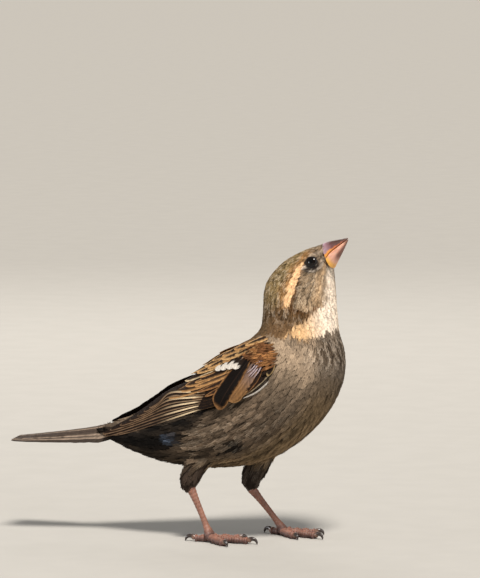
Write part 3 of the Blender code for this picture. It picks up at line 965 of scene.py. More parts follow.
def on_right_wing(points):
    """Where points of either wing lie on the right one, seen from the side."""
    left = points[:, 1] > MIDDLE_Y
    lift = np.interp(points[:, 0], WING_LIFT_AT, WING_LIFT)
    return np.stack((points[:, 0], points[:, 2] - lift * left), -1)


def inside(flat, outline):
    """True for places inside a closed outline."""
    hit = np.zeros(len(flat), bool)
    for (x0, z0), (x1, z1) in zip(outline, outline[1:] + outline[:1]):
        crosses = (z0 > flat[:, 1]) != (z1 > flat[:, 1])
        reach = x0 + (flat[:, 1] - z0) / (z1 - z0 + 1e-12) * (x1 - x0)
        hit ^= crosses & (flat[:, 0] < reach)
    return hit


def feathered(points):
    """True where small body feathers grow: not on the bill's root, the eyes, the wings or the tail."""
    place, _, _ = chart(points)
    grows = (place > 0.3) & (eye_reach(points) > EYE_OPENING + 0.35)
    on_wing = inside(on_right_wing(points), WING_FACE) & (np.abs(points[:, 1] - MIDDLE_Y) > 7)
    return grows & ~on_wing & (points[:, 0] > TAIL_ROOT_AHEAD) & (points[:, 2] > THIGH_END_UP)


FACE_NET = plume_net(3, 0.36, 0.28)
BODY_NET = plume_net(5, 0.3, 0.24)


def make_coat():
    """The body's small feathers, joined into one piece for each region."""
    roots, ups = scattered(body_guide, lambda points: size_at(points, GAPS), feathered)
    coat = coat_of(body_guide, roots, ups)
    reach = eye_reach(coat["paths"].reshape(-1, 3)).reshape(len(roots), -1)
    clear = reach.min(1) > EYE_OPENING + 0.1
    coat = part_of(coat, clear)
    place, side = coat["place"], coat["side"]
    leg = coat["paths"][:, 2, 2] < THIGH_UP
    head = (place < HEAD_END) & ~leg
    neck = (place >= HEAD_END) & (place < NECK_END) & ~leg
    fore = (place >= NECK_END) & (place < BREAST_END) & ~leg
    rear = (place >= BREAST_END) & ~leg
    areas = (
        ("head_feathers", head, FACE_NET, 0.08, 0.15, "plumage_head"),
        ("neck_feathers", neck, BODY_NET, 0.06, 0.12, "plumage_breast"),
        ("breast_feathers", fore & (side > BREAST_ANGLE), BODY_NET, 0.06, 0.06, "plumage_breast"),
        ("shoulder_feathers", fore & (side <= BREAST_ANGLE), BODY_NET, 0.06, 0.06, "plumage_breast"),
        ("belly_feathers", rear & (side > BELLY_ANGLE), BODY_NET, 0.09, 0.1, "plumage_flank"),
        ("flank_feathers", rear & (side <= BELLY_ANGLE), BODY_NET, 0.08, 0.1, "plumage_flank"),
        ("thigh_feathers", leg, FACE_NET, 0.1, 0.1, "plumage_flank"),
    )
    for name, mask, net, ruffle, uneven, slot in areas:
        plumes(name, part_of(coat, mask), net, ruffle, uneven, slot)


def make_bristles():
    """Small stiff feathers that lean forward over the bill's root."""
    shell = wrapped("bill_shell", ("head", "bill_upper", "bill_lower"), 5)
    guide = Guide(shell)
    roots, ups = scattered(guide, lambda points: np.full(len(points), 0.36), beside_bill)
    count = len(roots)
    place, angle, _ = chart(roots)
    forehead = 1 - above(np.abs(angle), 60, 40)
    length = (0.7 + 1.3 * forehead) * rng.uniform(0.75, 1.2, count)
    traced = trace(guide, roots, ups, length, rng.normal(0, 14, count), lie_of_bristles)
    colours = plumage(roots, np.maximum(place, 0.6), angle)
    half, depth = np.full(count, 0.28), np.full(count, 0.12)
    coat = coat_rows(roots, traced, colours, length, half, depth, rng.uniform(0.02, 0.22, count))
    plumes("bill_root_bristles", coat, FACE_NET, 0.04, 0.16, "plumage_head")
    bpy.data.objects.remove(shell)


def beside_bill(points):
    """True on the ring of face that the bristles grow from."""
    place, _, _ = chart(points)
    high = (points - BILL_BASE) @ BILL_RIDGE > -1.4
    return high & (place > 0.1) & (place < 1.7) & (eye_reach(points) > EYE_OPENING + 0.5)


def lie_of_bristles(points):
    """Forward over the bill."""
    return np.ones((len(points), 1)) * BILL_AHEAD


make_skin()
make_coat()
make_bristles()


# ---- Eyes and lids ------------------------------------------------------------------------------------


def turned_to(way):
    """The turn that points local Z along a way."""
    return Vector(way).to_track_quat("Z", "Y").to_euler()


def fixed(piece):
    """Puts a piece's place, turn and size into its mesh."""
    only(piece)
    bpy.ops.object.transform_apply(location=True, rotation=True, scale=True)


def eye_finish():
    """Eye: a black pupil in a dark brown iris, under a clear wet coat."""
    finish, nodes, shader = new_finish("wet_dark_eye")
    gaze = nodes.node("ShaderNodeAttribute", {"attribute_name": "gaze"}, None, 2)
    fleck = noise(place_on(nodes), 3500.0, 2.0)
    stops = (
        (0.0, (0.003, 0.003, 0.003)),
        (0.36, (0.003, 0.003, 0.003)),
        (0.44, (0.007, 0.004, 0.003)),
        (0.62, (0.006, 0.003, 0.002)),
        (0.74, (0.003, 0.002, 0.002)),
    )
    ring = nodes.node("ShaderNodeValToRGB", {"stops": stops}, {0: gaze * 0.4})
    feed(tinted(ring, (0.4, 0.35, 0.3, 1), fleck.clamped(0.4, 0.7), "MULTIPLY"), shader, "Base Color")
    feed(fleck * 0.05 + 0.06, shader, "Roughness")
    shader.inputs["Specular IOR Level"].default_value = 0.12
    shader.inputs["Coat Weight"].default_value = 0.22
    shader.inputs["Coat Roughness"].default_value = 0.02
    return finish


def lid_finish():
    """Lid: bare dark grey skin in fine beads."""
    finish, nodes, shader = new_finish("beaded_lid_skin")
    bead = nodes.node("ShaderNodeTexVoronoi", None, {"Vector": place_on(nodes), "Scale": 4200.0})
    share = bead.clamped(0.1, 0.7)
    base = plain(nodes, 0.016, 0.014, 0.013)
    feed(tinted(base, (0.009, 0.008, 0.008, 1), share), shader, "Base Color")
    feed(share * 0.3 + 0.52, shader, "Roughness")
    shader.inputs["Specular IOR Level"].default_value = 0.2
    relief(1 - share, shader, 0.5, 0.0001)
    return finish


eye_material = eye_finish()
lid_material = lid_finish()
CORNEA_CAP = 0.985
CORNEA_BULGE = 0.12
CORNEA_SPAN = 1.7
OFF_THE_IRIS = 3.0
LID_THICKNESS = 0.24
LID_BEAD = 0.035
LID_STRETCH = (1.07, 0.95, 1.0)


def make_eye(side):
    """An eyeball with a bulging cornea, and its lids as a beaded ring round the opening."""
    centre, axis = EYES[side], eye_axes[side]
    only()
    bpy.ops.mesh.primitive_uv_sphere_add(
        segments=64, ring_count=40, radius=EYE_RADIUS * MM, location=centre * MM, rotation=turned_to(axis)
    )
    eye = bpy.context.object
    eye.name = f"eyeball_{side}"
    fixed(eye)
    ahead = unit(mesh_points(eye) - centre) @ axis
    eye.data.vertices.foreach_set("select", ahead > CORNEA_CAP)
    bpy.ops.object.mode_set(mode="EDIT")
    bpy.ops.mesh.select_mode(type="VERT")
    bpy.ops.transform.translate(
        value=axis * CORNEA_BULGE * MM, use_proportional_edit=True, proportional_size=CORNEA_SPAN * MM
    )
    bpy.ops.object.mode_set(mode="OBJECT")
    _, front, radius = from_eye(mesh_points(eye), side)
    gaze = eye.data.attributes.new("gaze", "FLOAT", "POINT")
    gaze.data.foreach_set("value", np.where(front > 0, radius, OFF_THE_IRIS).astype(np.float32))
    eye.data.materials.append(eye_material)
    soften(eye, 80)
    on_body(eye, "eye", f"eye_{side}")

    bpy.ops.mesh.primitive_torus_add(
        major_segments=44,
        minor_segments=10,
        major_radius=(EYE_OPENING + 0.10) * MM,
        minor_radius=LID_THICKNESS * MM,
        location=(centre + axis * (EYE_STAND + 0.02)) * MM,
        rotation=turned_to(axis),
    )
    lid = bpy.context.object
    lid.name = f"eyelids_{side}"
    lid.scale = LID_STRETCH
    fixed(lid)
    with editing():
        bpy.ops.mesh.inset(thickness=LID_BEAD * MM, depth=LID_BEAD * MM, use_individual=True)
    modify(lid, "SUBSURF", levels=1, render_levels=1)
    lid.data.materials.append(lid_material)
    soften(lid, 60)
    on_body(lid, "eye")


for side in EYES:
    make_eye(side)


# ---- Bill ---------------------------------------------------------------------------------------------


def horn_finish(name, gloss):
    """Horn: the painted colour, with fine flecks and growth lines that run to the tip."""
    finish, nodes, shader = new_finish(name)
    turn = Vector(BILL_AHEAD).to_track_quat("X", "Z").inverted().to_euler()
    turned = nodes.node("ShaderNodeMapping", None, {"Vector": place_on(nodes), "Rotation": turn})
    stretched = nodes.node("ShaderNodeMapping", None, {"Vector": turned, "Scale": (260, 1500, 1500)})
    line = noise(stretched, 1.0, 3.0).clamped(0.35, 0.7)
    feed(tinted(painted(nodes), (0.72, 0.66, 0.64, 1), line * 0.55, "MULTIPLY"), shader, "Base Color")
    feed(line * 0.12 + gloss, shader, "Roughness")
    relief(line, shader, 0.25, 0.00008)
    shader.inputs["Subsurface Weight"].default_value = 0.12
    shader.inputs["Subsurface Scale"].default_value = 0.0012
    return finish


def copy_of(name, node):
    """A merged copy of a CAD node, in four-sided faces where they fit, to be refined."""
    piece = linked(name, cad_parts[node].data.copy())
    piece.data.materials.clear()
    only(piece)
    with editing():
        bpy.ops.mesh.remove_doubles(threshold=SAME_POINT * MM)
        bpy.ops.mesh.tris_convert_to_quads()
        bpy.ops.mesh.select_all(action="DESELECT")
        bpy.ops.mesh.edges_select_sharp(sharpness=math.radians(52))
        bpy.ops.transform.edge_crease(value=0.75)
    return piece


def make_bill():
    """Both halves: pinkish horn above with an orange edge, and yellow and flesh-coloured horn below."""
    finish = horn_finish("bill_horn", 0.46)
    for half in ("upper", "lower"):
        piece = copy_of(f"bill_{half}_horn", f"bill_{half}")
        modify(piece, "SUBSURF", levels=3, render_levels=3)
        offset = mesh_points(piece) - BILL_BASE
        ahead, height = offset @ BILL_AHEAD, offset @ BILL_RIDGE
        share = np.clip(ahead / BILL_LENGTH, 0, 1)
        speckle = 0.25 * wobble(mesh_points(piece), 1.1)
        if half == "upper":
            parting = height + 0.95 * np.clip(1 - share / 0.35, 0, 1) ** 2
            colour = mix(paint(140, 104, 106), paint(100, 56, 58), above(share + speckle * 0.4, 0.2, 0.3))
            colour = mix(colour, paint(66, 40, 33), above(share + 0.07 * height, 0.6, 0.4))
            # painted highlight: a pale lilac patch on the top of the upper bill near its root
            lilac_wash = (1 - above(share, 0.3, 0.3)) * above(height + speckle, 0.7, 0.8)
            colour = mix(colour, paint(178, 154, 168), lilac_wash * 0.5)
            edge = 1 - above(parting + speckle * 0.6, np.interp(share, (0, 0.5, 1), (1.2, 0.6, 0.25)), 0.6)
            orange = mix(paint(212, 142, 58), paint(184, 102, 62), above(share, 0.4, 0.5))
            colour = mix(colour, orange, edge * np.interp(share, (0, 0.6, 1), (1, 0.85, 0.2)))
        else:
            flesh = above(share - height * 0.02, 0.13, 0.2)
            colour = mix(paint(226, 166, 64), paint(212, 160, 138), flesh)
            # painted shade: a dark brown band along the lower mandible's underside
            underside_shade = 1 - above(height, np.interp(share, (0, 0.35, 1), (-3.7, -2.0, -0.4)), 0.8)
            colour = mix(colour, paint(104, 62, 50), underside_shade * above(share, 0.25, 0.3) * 0.9)
            colour = mix(colour, paint(120, 80, 66), above(share, 0.86, 0.2))
            colour = mix(colour, paint(218, 142, 72), above(height, -0.5, 0.4) * (1 - share) * 0.8)
        add_colours(piece, colour)
        piece.data.materials.append(finish)
        soften(piece, 60)
        on_body(piece, f"bill_{half}", f"bill_{half}")


make_bill()


# ---- Legs, toes and claws -----------------------------------------------------------------------------


def scale_finish():
    """Leg skin: pinkish horn scales with darker seams between them."""
    finish, nodes, shader = new_finish("pink_leg_scales")
    where = place_on(nodes)
    size = {"Vector": where, "Scale": 2200.0}
    cell = nodes.node("ShaderNodeTexVoronoi", {"feature": "DISTANCE_TO_EDGE"}, size)
    seam = 1 - cell.clamped(0.01, 0.10)
    mottle = noise(where, 900.0, 3.0)
    tone = tinted(painted(nodes), (0.74, 0.66, 0.62, 1), mottle.clamped(0.35, 0.7) * 0.6, "MULTIPLY")
    feed(tinted(tone, (0.6, 0.48, 0.44, 1), seam * 0.4, "MULTIPLY"), shader, "Base Color")
    feed(mottle * 0.25 + 0.38, shader, "Roughness")
    relief(cell.clamped(0.0, 0.12), shader, 0.35, 0.00012)
    shader.inputs["Subsurface Weight"].default_value = 0.15
    shader.inputs["Subsurface Scale"].default_value = 0.001
    return finish


def claw_finish():
    """Claw: dark glossy horn, paler at its root."""
    finish, nodes, shader = new_finish("dark_claw_horn")
    line = noise(place_on(nodes), 1600.0, 3.0).clamped(0.35, 0.7)
    feed(tinted(painted(nodes), (0.5, 0.45, 0.42, 1), line * 0.6, "MULTIPLY"), shader, "Base Color")
    feed(line * 0.15 + 0.25, shader, "Roughness")
    relief(line, shader, 0.2, 0.0001)
    return finish


leg_material = scale_finish()
claw_material = claw_finish()


ROUTE_POINTS = 48


def limb(name, rings, sides, route, finish):
    """A limb pushed out of a disc ring by ring along X, then bent along its route.

    Each ring is its place along, its half width, its half height and how far its middle is raised.
    """
    place, wide, high, rise = rings[0]
    only()
    bpy.ops.mesh.primitive_circle_add(
        vertices=sides,
        radius=MM,
        fill_type="NGON",
        location=(place * MM, 0, rise * MM),
        rotation=(0, math.pi / 2, 0),
    )
    piece = bpy.context.object
    piece.name = name
    fixed(piece)
    with editing():
        bpy.ops.transform.resize(value=(1, wide, high), center_override=(place * MM, 0, rise * MM))
        for far, half, tall, lift in rings[1:]:
            push = ((far - place) * MM, 0, (lift - rise) * MM)
            bpy.ops.mesh.extrude_region_move(TRANSFORM_OT_translate={"value": push})
            size = (1, half / wide, tall / high)
            bpy.ops.transform.resize(value=size, center_override=(far * MM, 0, lift * MM))
            place, wide, high, rise = far, half, tall, lift
        bpy.ops.mesh.select_all(action="SELECT")
        bpy.ops.mesh.normals_make_consistent(inside=False)
    line = bpy.data.curves.new(f"{name}_route", "CURVE")
    line.dimensions = "3D"
    line.twist_mode = "Z_UP"
    spline = line.splines.new("POLY")
    points = curve_through(route, ROUTE_POINTS)
    spline.points.add(len(points) - 1)
    for knot, point in zip(spline.points, points):
        knot.co = (*(point * MM), 1)
    path = linked(f"{name}_route", line)
    modify(piece, "CURVE", object=path, deform_axis="POS_X")
    bpy.data.objects.remove(path)
    modify(piece, "SUBSURF", levels=1, render_levels=1)
    piece.data.materials.append(finish)
    soften(piece, 70)
    return piece


LEG_SKIN = paint(134, 92, 75)
DARKER_LOW_SKIN = paint(90, 63, 57)
CLAW_HORN = paint(52, 43, 40)
CLAW_ROOT = paint(128, 98, 84)
TARSUS_LENGTH = 18.2
SCALE_LIP = 0.3
TOE_IN_PALM = 1.2
TOE_WIDTH, TOE_HEIGHT = 1.62, 1.46
CLAW_GAP = 0.3
CLAW_FIRST, CLAW_LAST, CLAW_SET = (math.radians(angle) for angle in (158, -5, 150))
CLAW_RADIUS = 0.98
LEGS = {
    "right": ((14.3, -10.2), (-7.4, 1.6, 16.3), -6.0, (-44.0, 0.0, 30.0)),
    "left": ((35.7, 12.4), (-10.9, -2.6, 14.5), -26.0, (36.0, 0.0, -26.0)),
}
TOES = (
    ("outer", (1.3, 1.8), 8.4, 1.55),
    ("middle", (2.1, 0.0), 11.4, 1.8),
    ("inner", (1.3, 1.8), 7.8, 1.55),
)
HIND_TOE = ("hind", (-1.5, 0.0), 4.4, 1.9)


def scutes(length, step, shape, lap):
    """Rings along a scaly limb: each scale swells to its free end and drops to the next one's root."""
    rings = []
    count = max(2, round(length / step))
    for index in range(count):
        for part, swell in ((0.0, -0.9), (0.25, 0.0), (0.86, 1.0)):
            place = (index + part) / count * length
            wide, high, rise = shape(place / length)
            swell = 1 + swell * lap
            rings.append((place, wide * swell, high * swell, rise))
    wide, high, rise = shape(1.0)
    rings.append((length, wide * 0.9, high * 0.9, rise))
    rings.append((length + SCALE_LIP, wide * 0.5, high * 0.5, rise))
    return rings


def flat_way(degrees):
    return np.array((math.cos(math.radians(degrees)), math.sin(math.radians(degrees)), 0.0))


def laid_on_floor(piece, lowest):
    """Flattens whatever of a piece is below the floor's level, and gives its points."""
    points = mesh_points(piece)
    points[:, 2] = np.maximum(points[:, 2], lowest)
    move_points(piece, points)
    return mesh_points(piece)


def leg_colours(points, paler_from, soft, mottle, size):
    """Pinkish scales, darker towards the bottom, a little mottled."""
    tone = mix(LEG_SKIN, DARKER_LOW_SKIN, 1 - above(points[:, 2], paler_from, soft))
    return tone * (1 + mottle * wobble(points, size))[:, None]


def round_claw(middle, ahead, angle, bend):
    """A place on the arc of this radius round a claw's middle."""
    return middle + (ahead * math.cos(angle) + world_up * math.sin(angle)) * bend


def make_toe(side, name, degrees, start, length, bend):
    """A scaled toe with a pad under each joint, laid flat on the floor, and its claw."""
    ahead = flat_way(degrees)
    root = start - ahead * TOE_IN_PALM
    joints = 3 if name in ("outer", "middle") else 2

    def shape(share):
        pad = 0.92 + 0.15 * math.cos(2 * math.pi * joints * share) - 0.12 * share
        return TOE_WIDTH * pad, TOE_HEIGHT * pad, 0.0

    def height(share):
        return 1.2 - 0.15 * share + 0.5 * max(0.0, 1 - 3 * share) ** 2 + 0.15 * math.sin(math.pi * share)

    full = length + TOE_IN_PALM
    route = [root + ahead * (full * step / 8) + world_up * height(step / 8) for step in range(9)]
    rings = scutes(full, 1.0, shape, 0.16)
    toe = limb(f"{name}_toe_scales_{side}", rings, 16, route, leg_material)
    add_colours(toe, leg_colours(laid_on_floor(toe, 0.0), 1.9, 2.0, 0.12, 1.5))
    on_body(toe, "leg_scales", f"{name}_toe_{side}")
    make_claw(side, name, route[-1] + ahead * CLAW_GAP, ahead, bend)


def make_claw(side, name, tip, ahead, bend):
    """A hooked claw, bent on an arc of this radius down from the toe's tip."""
    middle = round_claw(tip, ahead, CLAW_SET, -bend)
    arc = []
    for step in range(13):
        angle = CLAW_FIRST + (CLAW_LAST - CLAW_FIRST) * step / 12
        arc.append(round_claw(middle, ahead, angle, bend))
    reach = (CLAW_FIRST - CLAW_LAST) * bend
    rings = []
    for step in range(11):
        share = step / 10
        radius = CLAW_RADIUS * (1 - share) ** 0.62 + 0.10
        rings.append((reach * share, radius * 0.8, radius, 0.0))
    claw = limb(f"{name}_claw_horn_{side}", rings, 12, arc, claw_material)
    near = np.linalg.norm(laid_on_floor(claw, 0.02) - tip, axis=1)
    add_colours(claw, mix(CLAW_ROOT, CLAW_HORN, above(near, 1.3, 1.2)))
    on_body(claw, "claw", f"{name}_claw_{side}")


def make_leg(side):
    """A scaled tarsus from the thigh down into the ball of the foot, and its four toes."""
    foot_place, ankle_way, heading, splay = LEGS[side]
    foot = np.array((*foot_place, 1.25))
    way = unit(np.array(ankle_way))
    ankle = foot + way * (TARSUS_LENGTH + 1.6)

    ahead = flat_way(heading)
    ball = np.array((*foot_place, 1.05))
    knee = foot * 0.5 + ankle * 0.5 + np.array((0.12, 0, 0))
    route = (ankle, knee, foot + way * 3.2, foot + way * 0.9, ball + ahead * 0.9, ball + ahead * 3.0)
    line = curve_through(route, ROUTE_POINTS)
    shin = np.linalg.norm(np.diff(line, axis=0), axis=1).sum() - SCALE_LIP

    def shape(share):
        left = (1 - share) * shin
        ball_swell = math.exp(-(((left - 3.8) / 2.6) ** 2))
        radius = 1.0 + 0.75 * (1 - share) ** 5 + 1.0 * ball_swell
        return radius * (0.98 + 0.30 * ball_swell), radius * (1.04 - 0.24 * ball_swell), 0.0

    tarsus = limb(f"tarsus_scales_{side}", scutes(shin, 1.3, shape, 0.07), 18, route, leg_material)
    add_colours(tarsus, leg_colours(laid_on_floor(tarsus, 0.0), 4.0, 3.0, 0.10, 2.0))
    on_body(tarsus, "leg_scales", f"tarsus_{side}")

    outward = 1 if side == "left" else -1
    across = np.array((-ahead[1], ahead[0], 0)) * outward
    ground = np.array((*foot_place, 0.0))
    for (name, start, length, bend), turn, row in zip(TOES, splay, (1, 0, -1)):
        begin = ground + ahead * start[0] + across * (start[1] * row)
        make_toe(side, name, heading + turn, begin, length, bend)
    name, start, length, bend = HIND_TOE
    make_toe(side, name, heading + 180, ground + ahead * start[0], length, bend)


for side in LEGS:
    make_leg(side)


# ---- Quill feathers: wings and tail -------------------------------------------------------------------

WING_NODES = ("wing_coverts", "wing_secondaries", "wing_primaries")


class WingSheet:
    """The outer face of the right wing as one smooth sheet over ahead and up."""

    STEP = 0.75
    LOW = np.array((-36.0, 26.0))
    COUNT = (116, 76)
    FILLING, SMOOTHING = 60, 7
    FOLD_IN, TUCK_IN = 1.5, 0.35
    CLEAR_OF_BIRD = -60.0
    PROBE = 0.6

    def __init__(self):
        points, triangles, start = [], [], 0
        for node in WING_NODES:
            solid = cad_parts[f"{node}_right"]
            rows = mesh_points(solid)
            points += rows.tolist()
            triangles += [[corner + start for corner in face.vertices] for face in solid.data.polygons]
            start += len(rows)
        tree = BVHTree.FromPolygons(points, triangles)
        depth = np.full(self.COUNT, np.nan)
        for column in range(self.COUNT[0]):
            for row in range(self.COUNT[1]):
                x, z = self.LOW + np.array((column, row)) * self.STEP
                hit = tree.ray_cast((x, self.CLEAR_OF_BIRD, z), (0, 1, 0))[0]
                if hit is not None:
                    depth[column, row] = hit.y
        known = ~np.isnan(depth)
        columns = np.flatnonzero(known.any(1))
        edge = [np.flatnonzero(known[column])[-1] for column in columns]
        self.edge_at = self.LOW[0] + columns * self.STEP
        self.edge = self.LOW[1] + np.convolve(np.pad(edge, 2, "edge"), np.ones(5) / 5, "valid") * self.STEP
        depth = self.folded_over(np.where(known, depth, 0), known)
        known = known | (depth != 0)
        weight = known.astype(float)
        for _ in range(self.FILLING):
            total = self.spread(depth * weight)
            near = self.spread(weight)
            filled = (weight == 0) & (near > 0)
            depth = np.where(filled, total / np.maximum(near, 1e-9), depth)
            weight = np.where(filled, 1.0, weight)
        for _ in range(self.SMOOTHING):
            depth = self.spread(depth) / self.spread(np.ones(self.COUNT))
        self.depth = depth

    def folded_over(self, depth, known):
        """Beyond its upper edge the sheet folds in over the back, and below it tucks in a little."""
        depth = depth.copy()
        for column in range(self.COUNT[0]):
            rows = np.flatnonzero(known[column])
            if len(rows) < 3:
                continue
            beyond = np.arange(rows[-1], self.COUNT[1])
            inward = self.FOLD_IN * self.STEP * (beyond - rows[-1])
            depth[column, beyond] = depth[column, rows[-1]] + inward
            below = np.arange(0, rows[0])
            inward = self.TUCK_IN * self.STEP * (rows[0] - below)
            depth[column, below] = depth[column, rows[0]] + inward
        return depth

    def spread(self, grid):
        """Each cell's sum with its eight neighbours."""
        wide = np.pad(grid, 1)
        rows, columns = grid.shape[:2]
        return sum(wide[x : x + rows, y : y + columns] for x in (0, 1, 2) for y in (0, 1, 2))

    def out_at(self, flat):
        """Where the sheet is, from side to side, at these places."""
        place = (flat - self.LOW) / self.STEP
        place = np.clip(place, 0, np.array(self.COUNT) - 1.001)
        cell = place.astype(int)
        share = place - cell
        x, z = cell[..., 0], cell[..., 1]
        sx, sz = share[..., 0], share[..., 1]
        low = self.depth[x, z] * (1 - sx) + self.depth[x + 1, z] * sx
        high = self.depth[x, z + 1] * (1 - sx) + self.depth[x + 1, z + 1] * sx
        return low * (1 - sz) + high * sz

    def lay(self, flat, height):
        """Points at these places on the sheet, raised by these heights and kept under its upper edge."""
        over = np.maximum(flat[..., 1] - np.interp(flat[..., 0], self.edge_at, self.edge) - 0.1, 0)
        over = over * (1 - above(flat[..., 0], 10, 8))
        flat = np.stack((flat[..., 0], flat[..., 1] - 0.75 * over), -1)
        here = self.out_at(flat)
        ahead, rise = (
            (self.out_at(flat + step) - self.out_at(flat - step)) / (2 * self.PROBE)
            for step in ((self.PROBE, 0), (0, self.PROBE))
        )
        out = unit(np.stack((ahead, -np.ones_like(ahead), rise), -1))
        return np.stack((flat[..., 0], here, flat[..., 1]), -1) + out * height[..., None]


class TailSheet:
    """The tail's upper face, over ahead and left: a low tent that falls towards its end."""

    ROOT, LENGTH = -28.9, 32.8
    HEIGHT, FALL = 38.9, 4.8
    HALF_WIDTH, SPREAD = 5.2, 3.4

    def lay(self, flat, height):
        share = np.clip((self.ROOT - flat[..., 0]) / self.LENGTH, -0.2, 1.05)
        crest = self.HEIGHT - self.FALL * np.sign(share) * np.abs(share) ** 0.82
        half = self.HALF_WIDTH + self.SPREAD * np.clip(share, 0, 1) ** 0.8
        sag = 1.25 * np.clip(crest - 34.0, 0, 9) + 0.3
        level = crest - sag * ((flat[..., 1] - MIDDLE_Y) / half) ** 2
        return np.stack((flat[..., 0], flat[..., 1], level + height), -1)


SHAFT_POINTS = 120
CELL_MARGIN, CELL_SPAN = 0.04, 0.92
COLUMNS = np.array((-1, -0.93, -0.8, -0.55, -0.28, -0.07, 0, 0.07, 0.28, 0.55, 0.8, 0.93, 1))
ROWS = 27
VANE_GRID = np.ones((ROWS, len(COLUMNS)))
HALF_THICKNESS = 0.045
SHAFT_RIDGE = 0.11
SHAFT_TONE = paint(48, 32, 22)
quill_barbs = feather_finish("quill_barbs", 0.26, 0.62, 0.35, 0.3)


def quill_faces():
    """One closed quill feather's faces: the upper side's grid, and the under side's on the same edges."""
    top = np.arange(VANE_GRID.size).reshape(VANE_GRID.shape)
    under = top.copy()
    inner = VANE_GRID[1:-1, 1:-1]
    under[1:-1, 1:-1] = np.arange(inner.size).reshape(inner.shape) + top.size
    quads = []
    for grid, way in ((top, 1), (under, -1)):
        corners = (grid[:-1, :-1], grid[1:, :-1], grid[1:, 1:], grid[:-1, 1:])
        quads.append(np.stack([corner.ravel() for corner in corners[::way]], -1))
    return np.concatenate(quads)


QUILL_FACES = quill_faces()


def both_sides(top, under):
    """The points of the upper side, then the inner ones of the under side."""
    depth = top.shape[-1]
    return np.concatenate((top.reshape(-1, depth), under[1:-1, 1:-1].reshape(-1, depth)))


def quill_colours(t, half, length, tone, fringe, rims):
    """A quill feather's vanes with their fringes, and its shaft."""
    margin = (1 - np.abs(COLUMNS))[None] * half
    end = (1 - t) * length
    side_rim = np.where(COLUMNS < 0, rims[0], rims[1])[None]
    fray = rng.normal(0, 0.07, (ROWS, 1))
    share = np.maximum(
        (1 - above(margin + fray, side_rim, 0.3 + side_rim)) * (side_rim > 0.02),
        (1 - above(end + fray, rims[2], 0.4 + rims[2])) * (rims[2] > 0.02),
    )
    colour = mix(np.asarray(tone) * VANE_GRID[..., None], fringe, share)
    return mix(colour, SHAFT_TONE, (np.abs(COLUMNS) < 0.03) * VANE_GRID * 0.6)


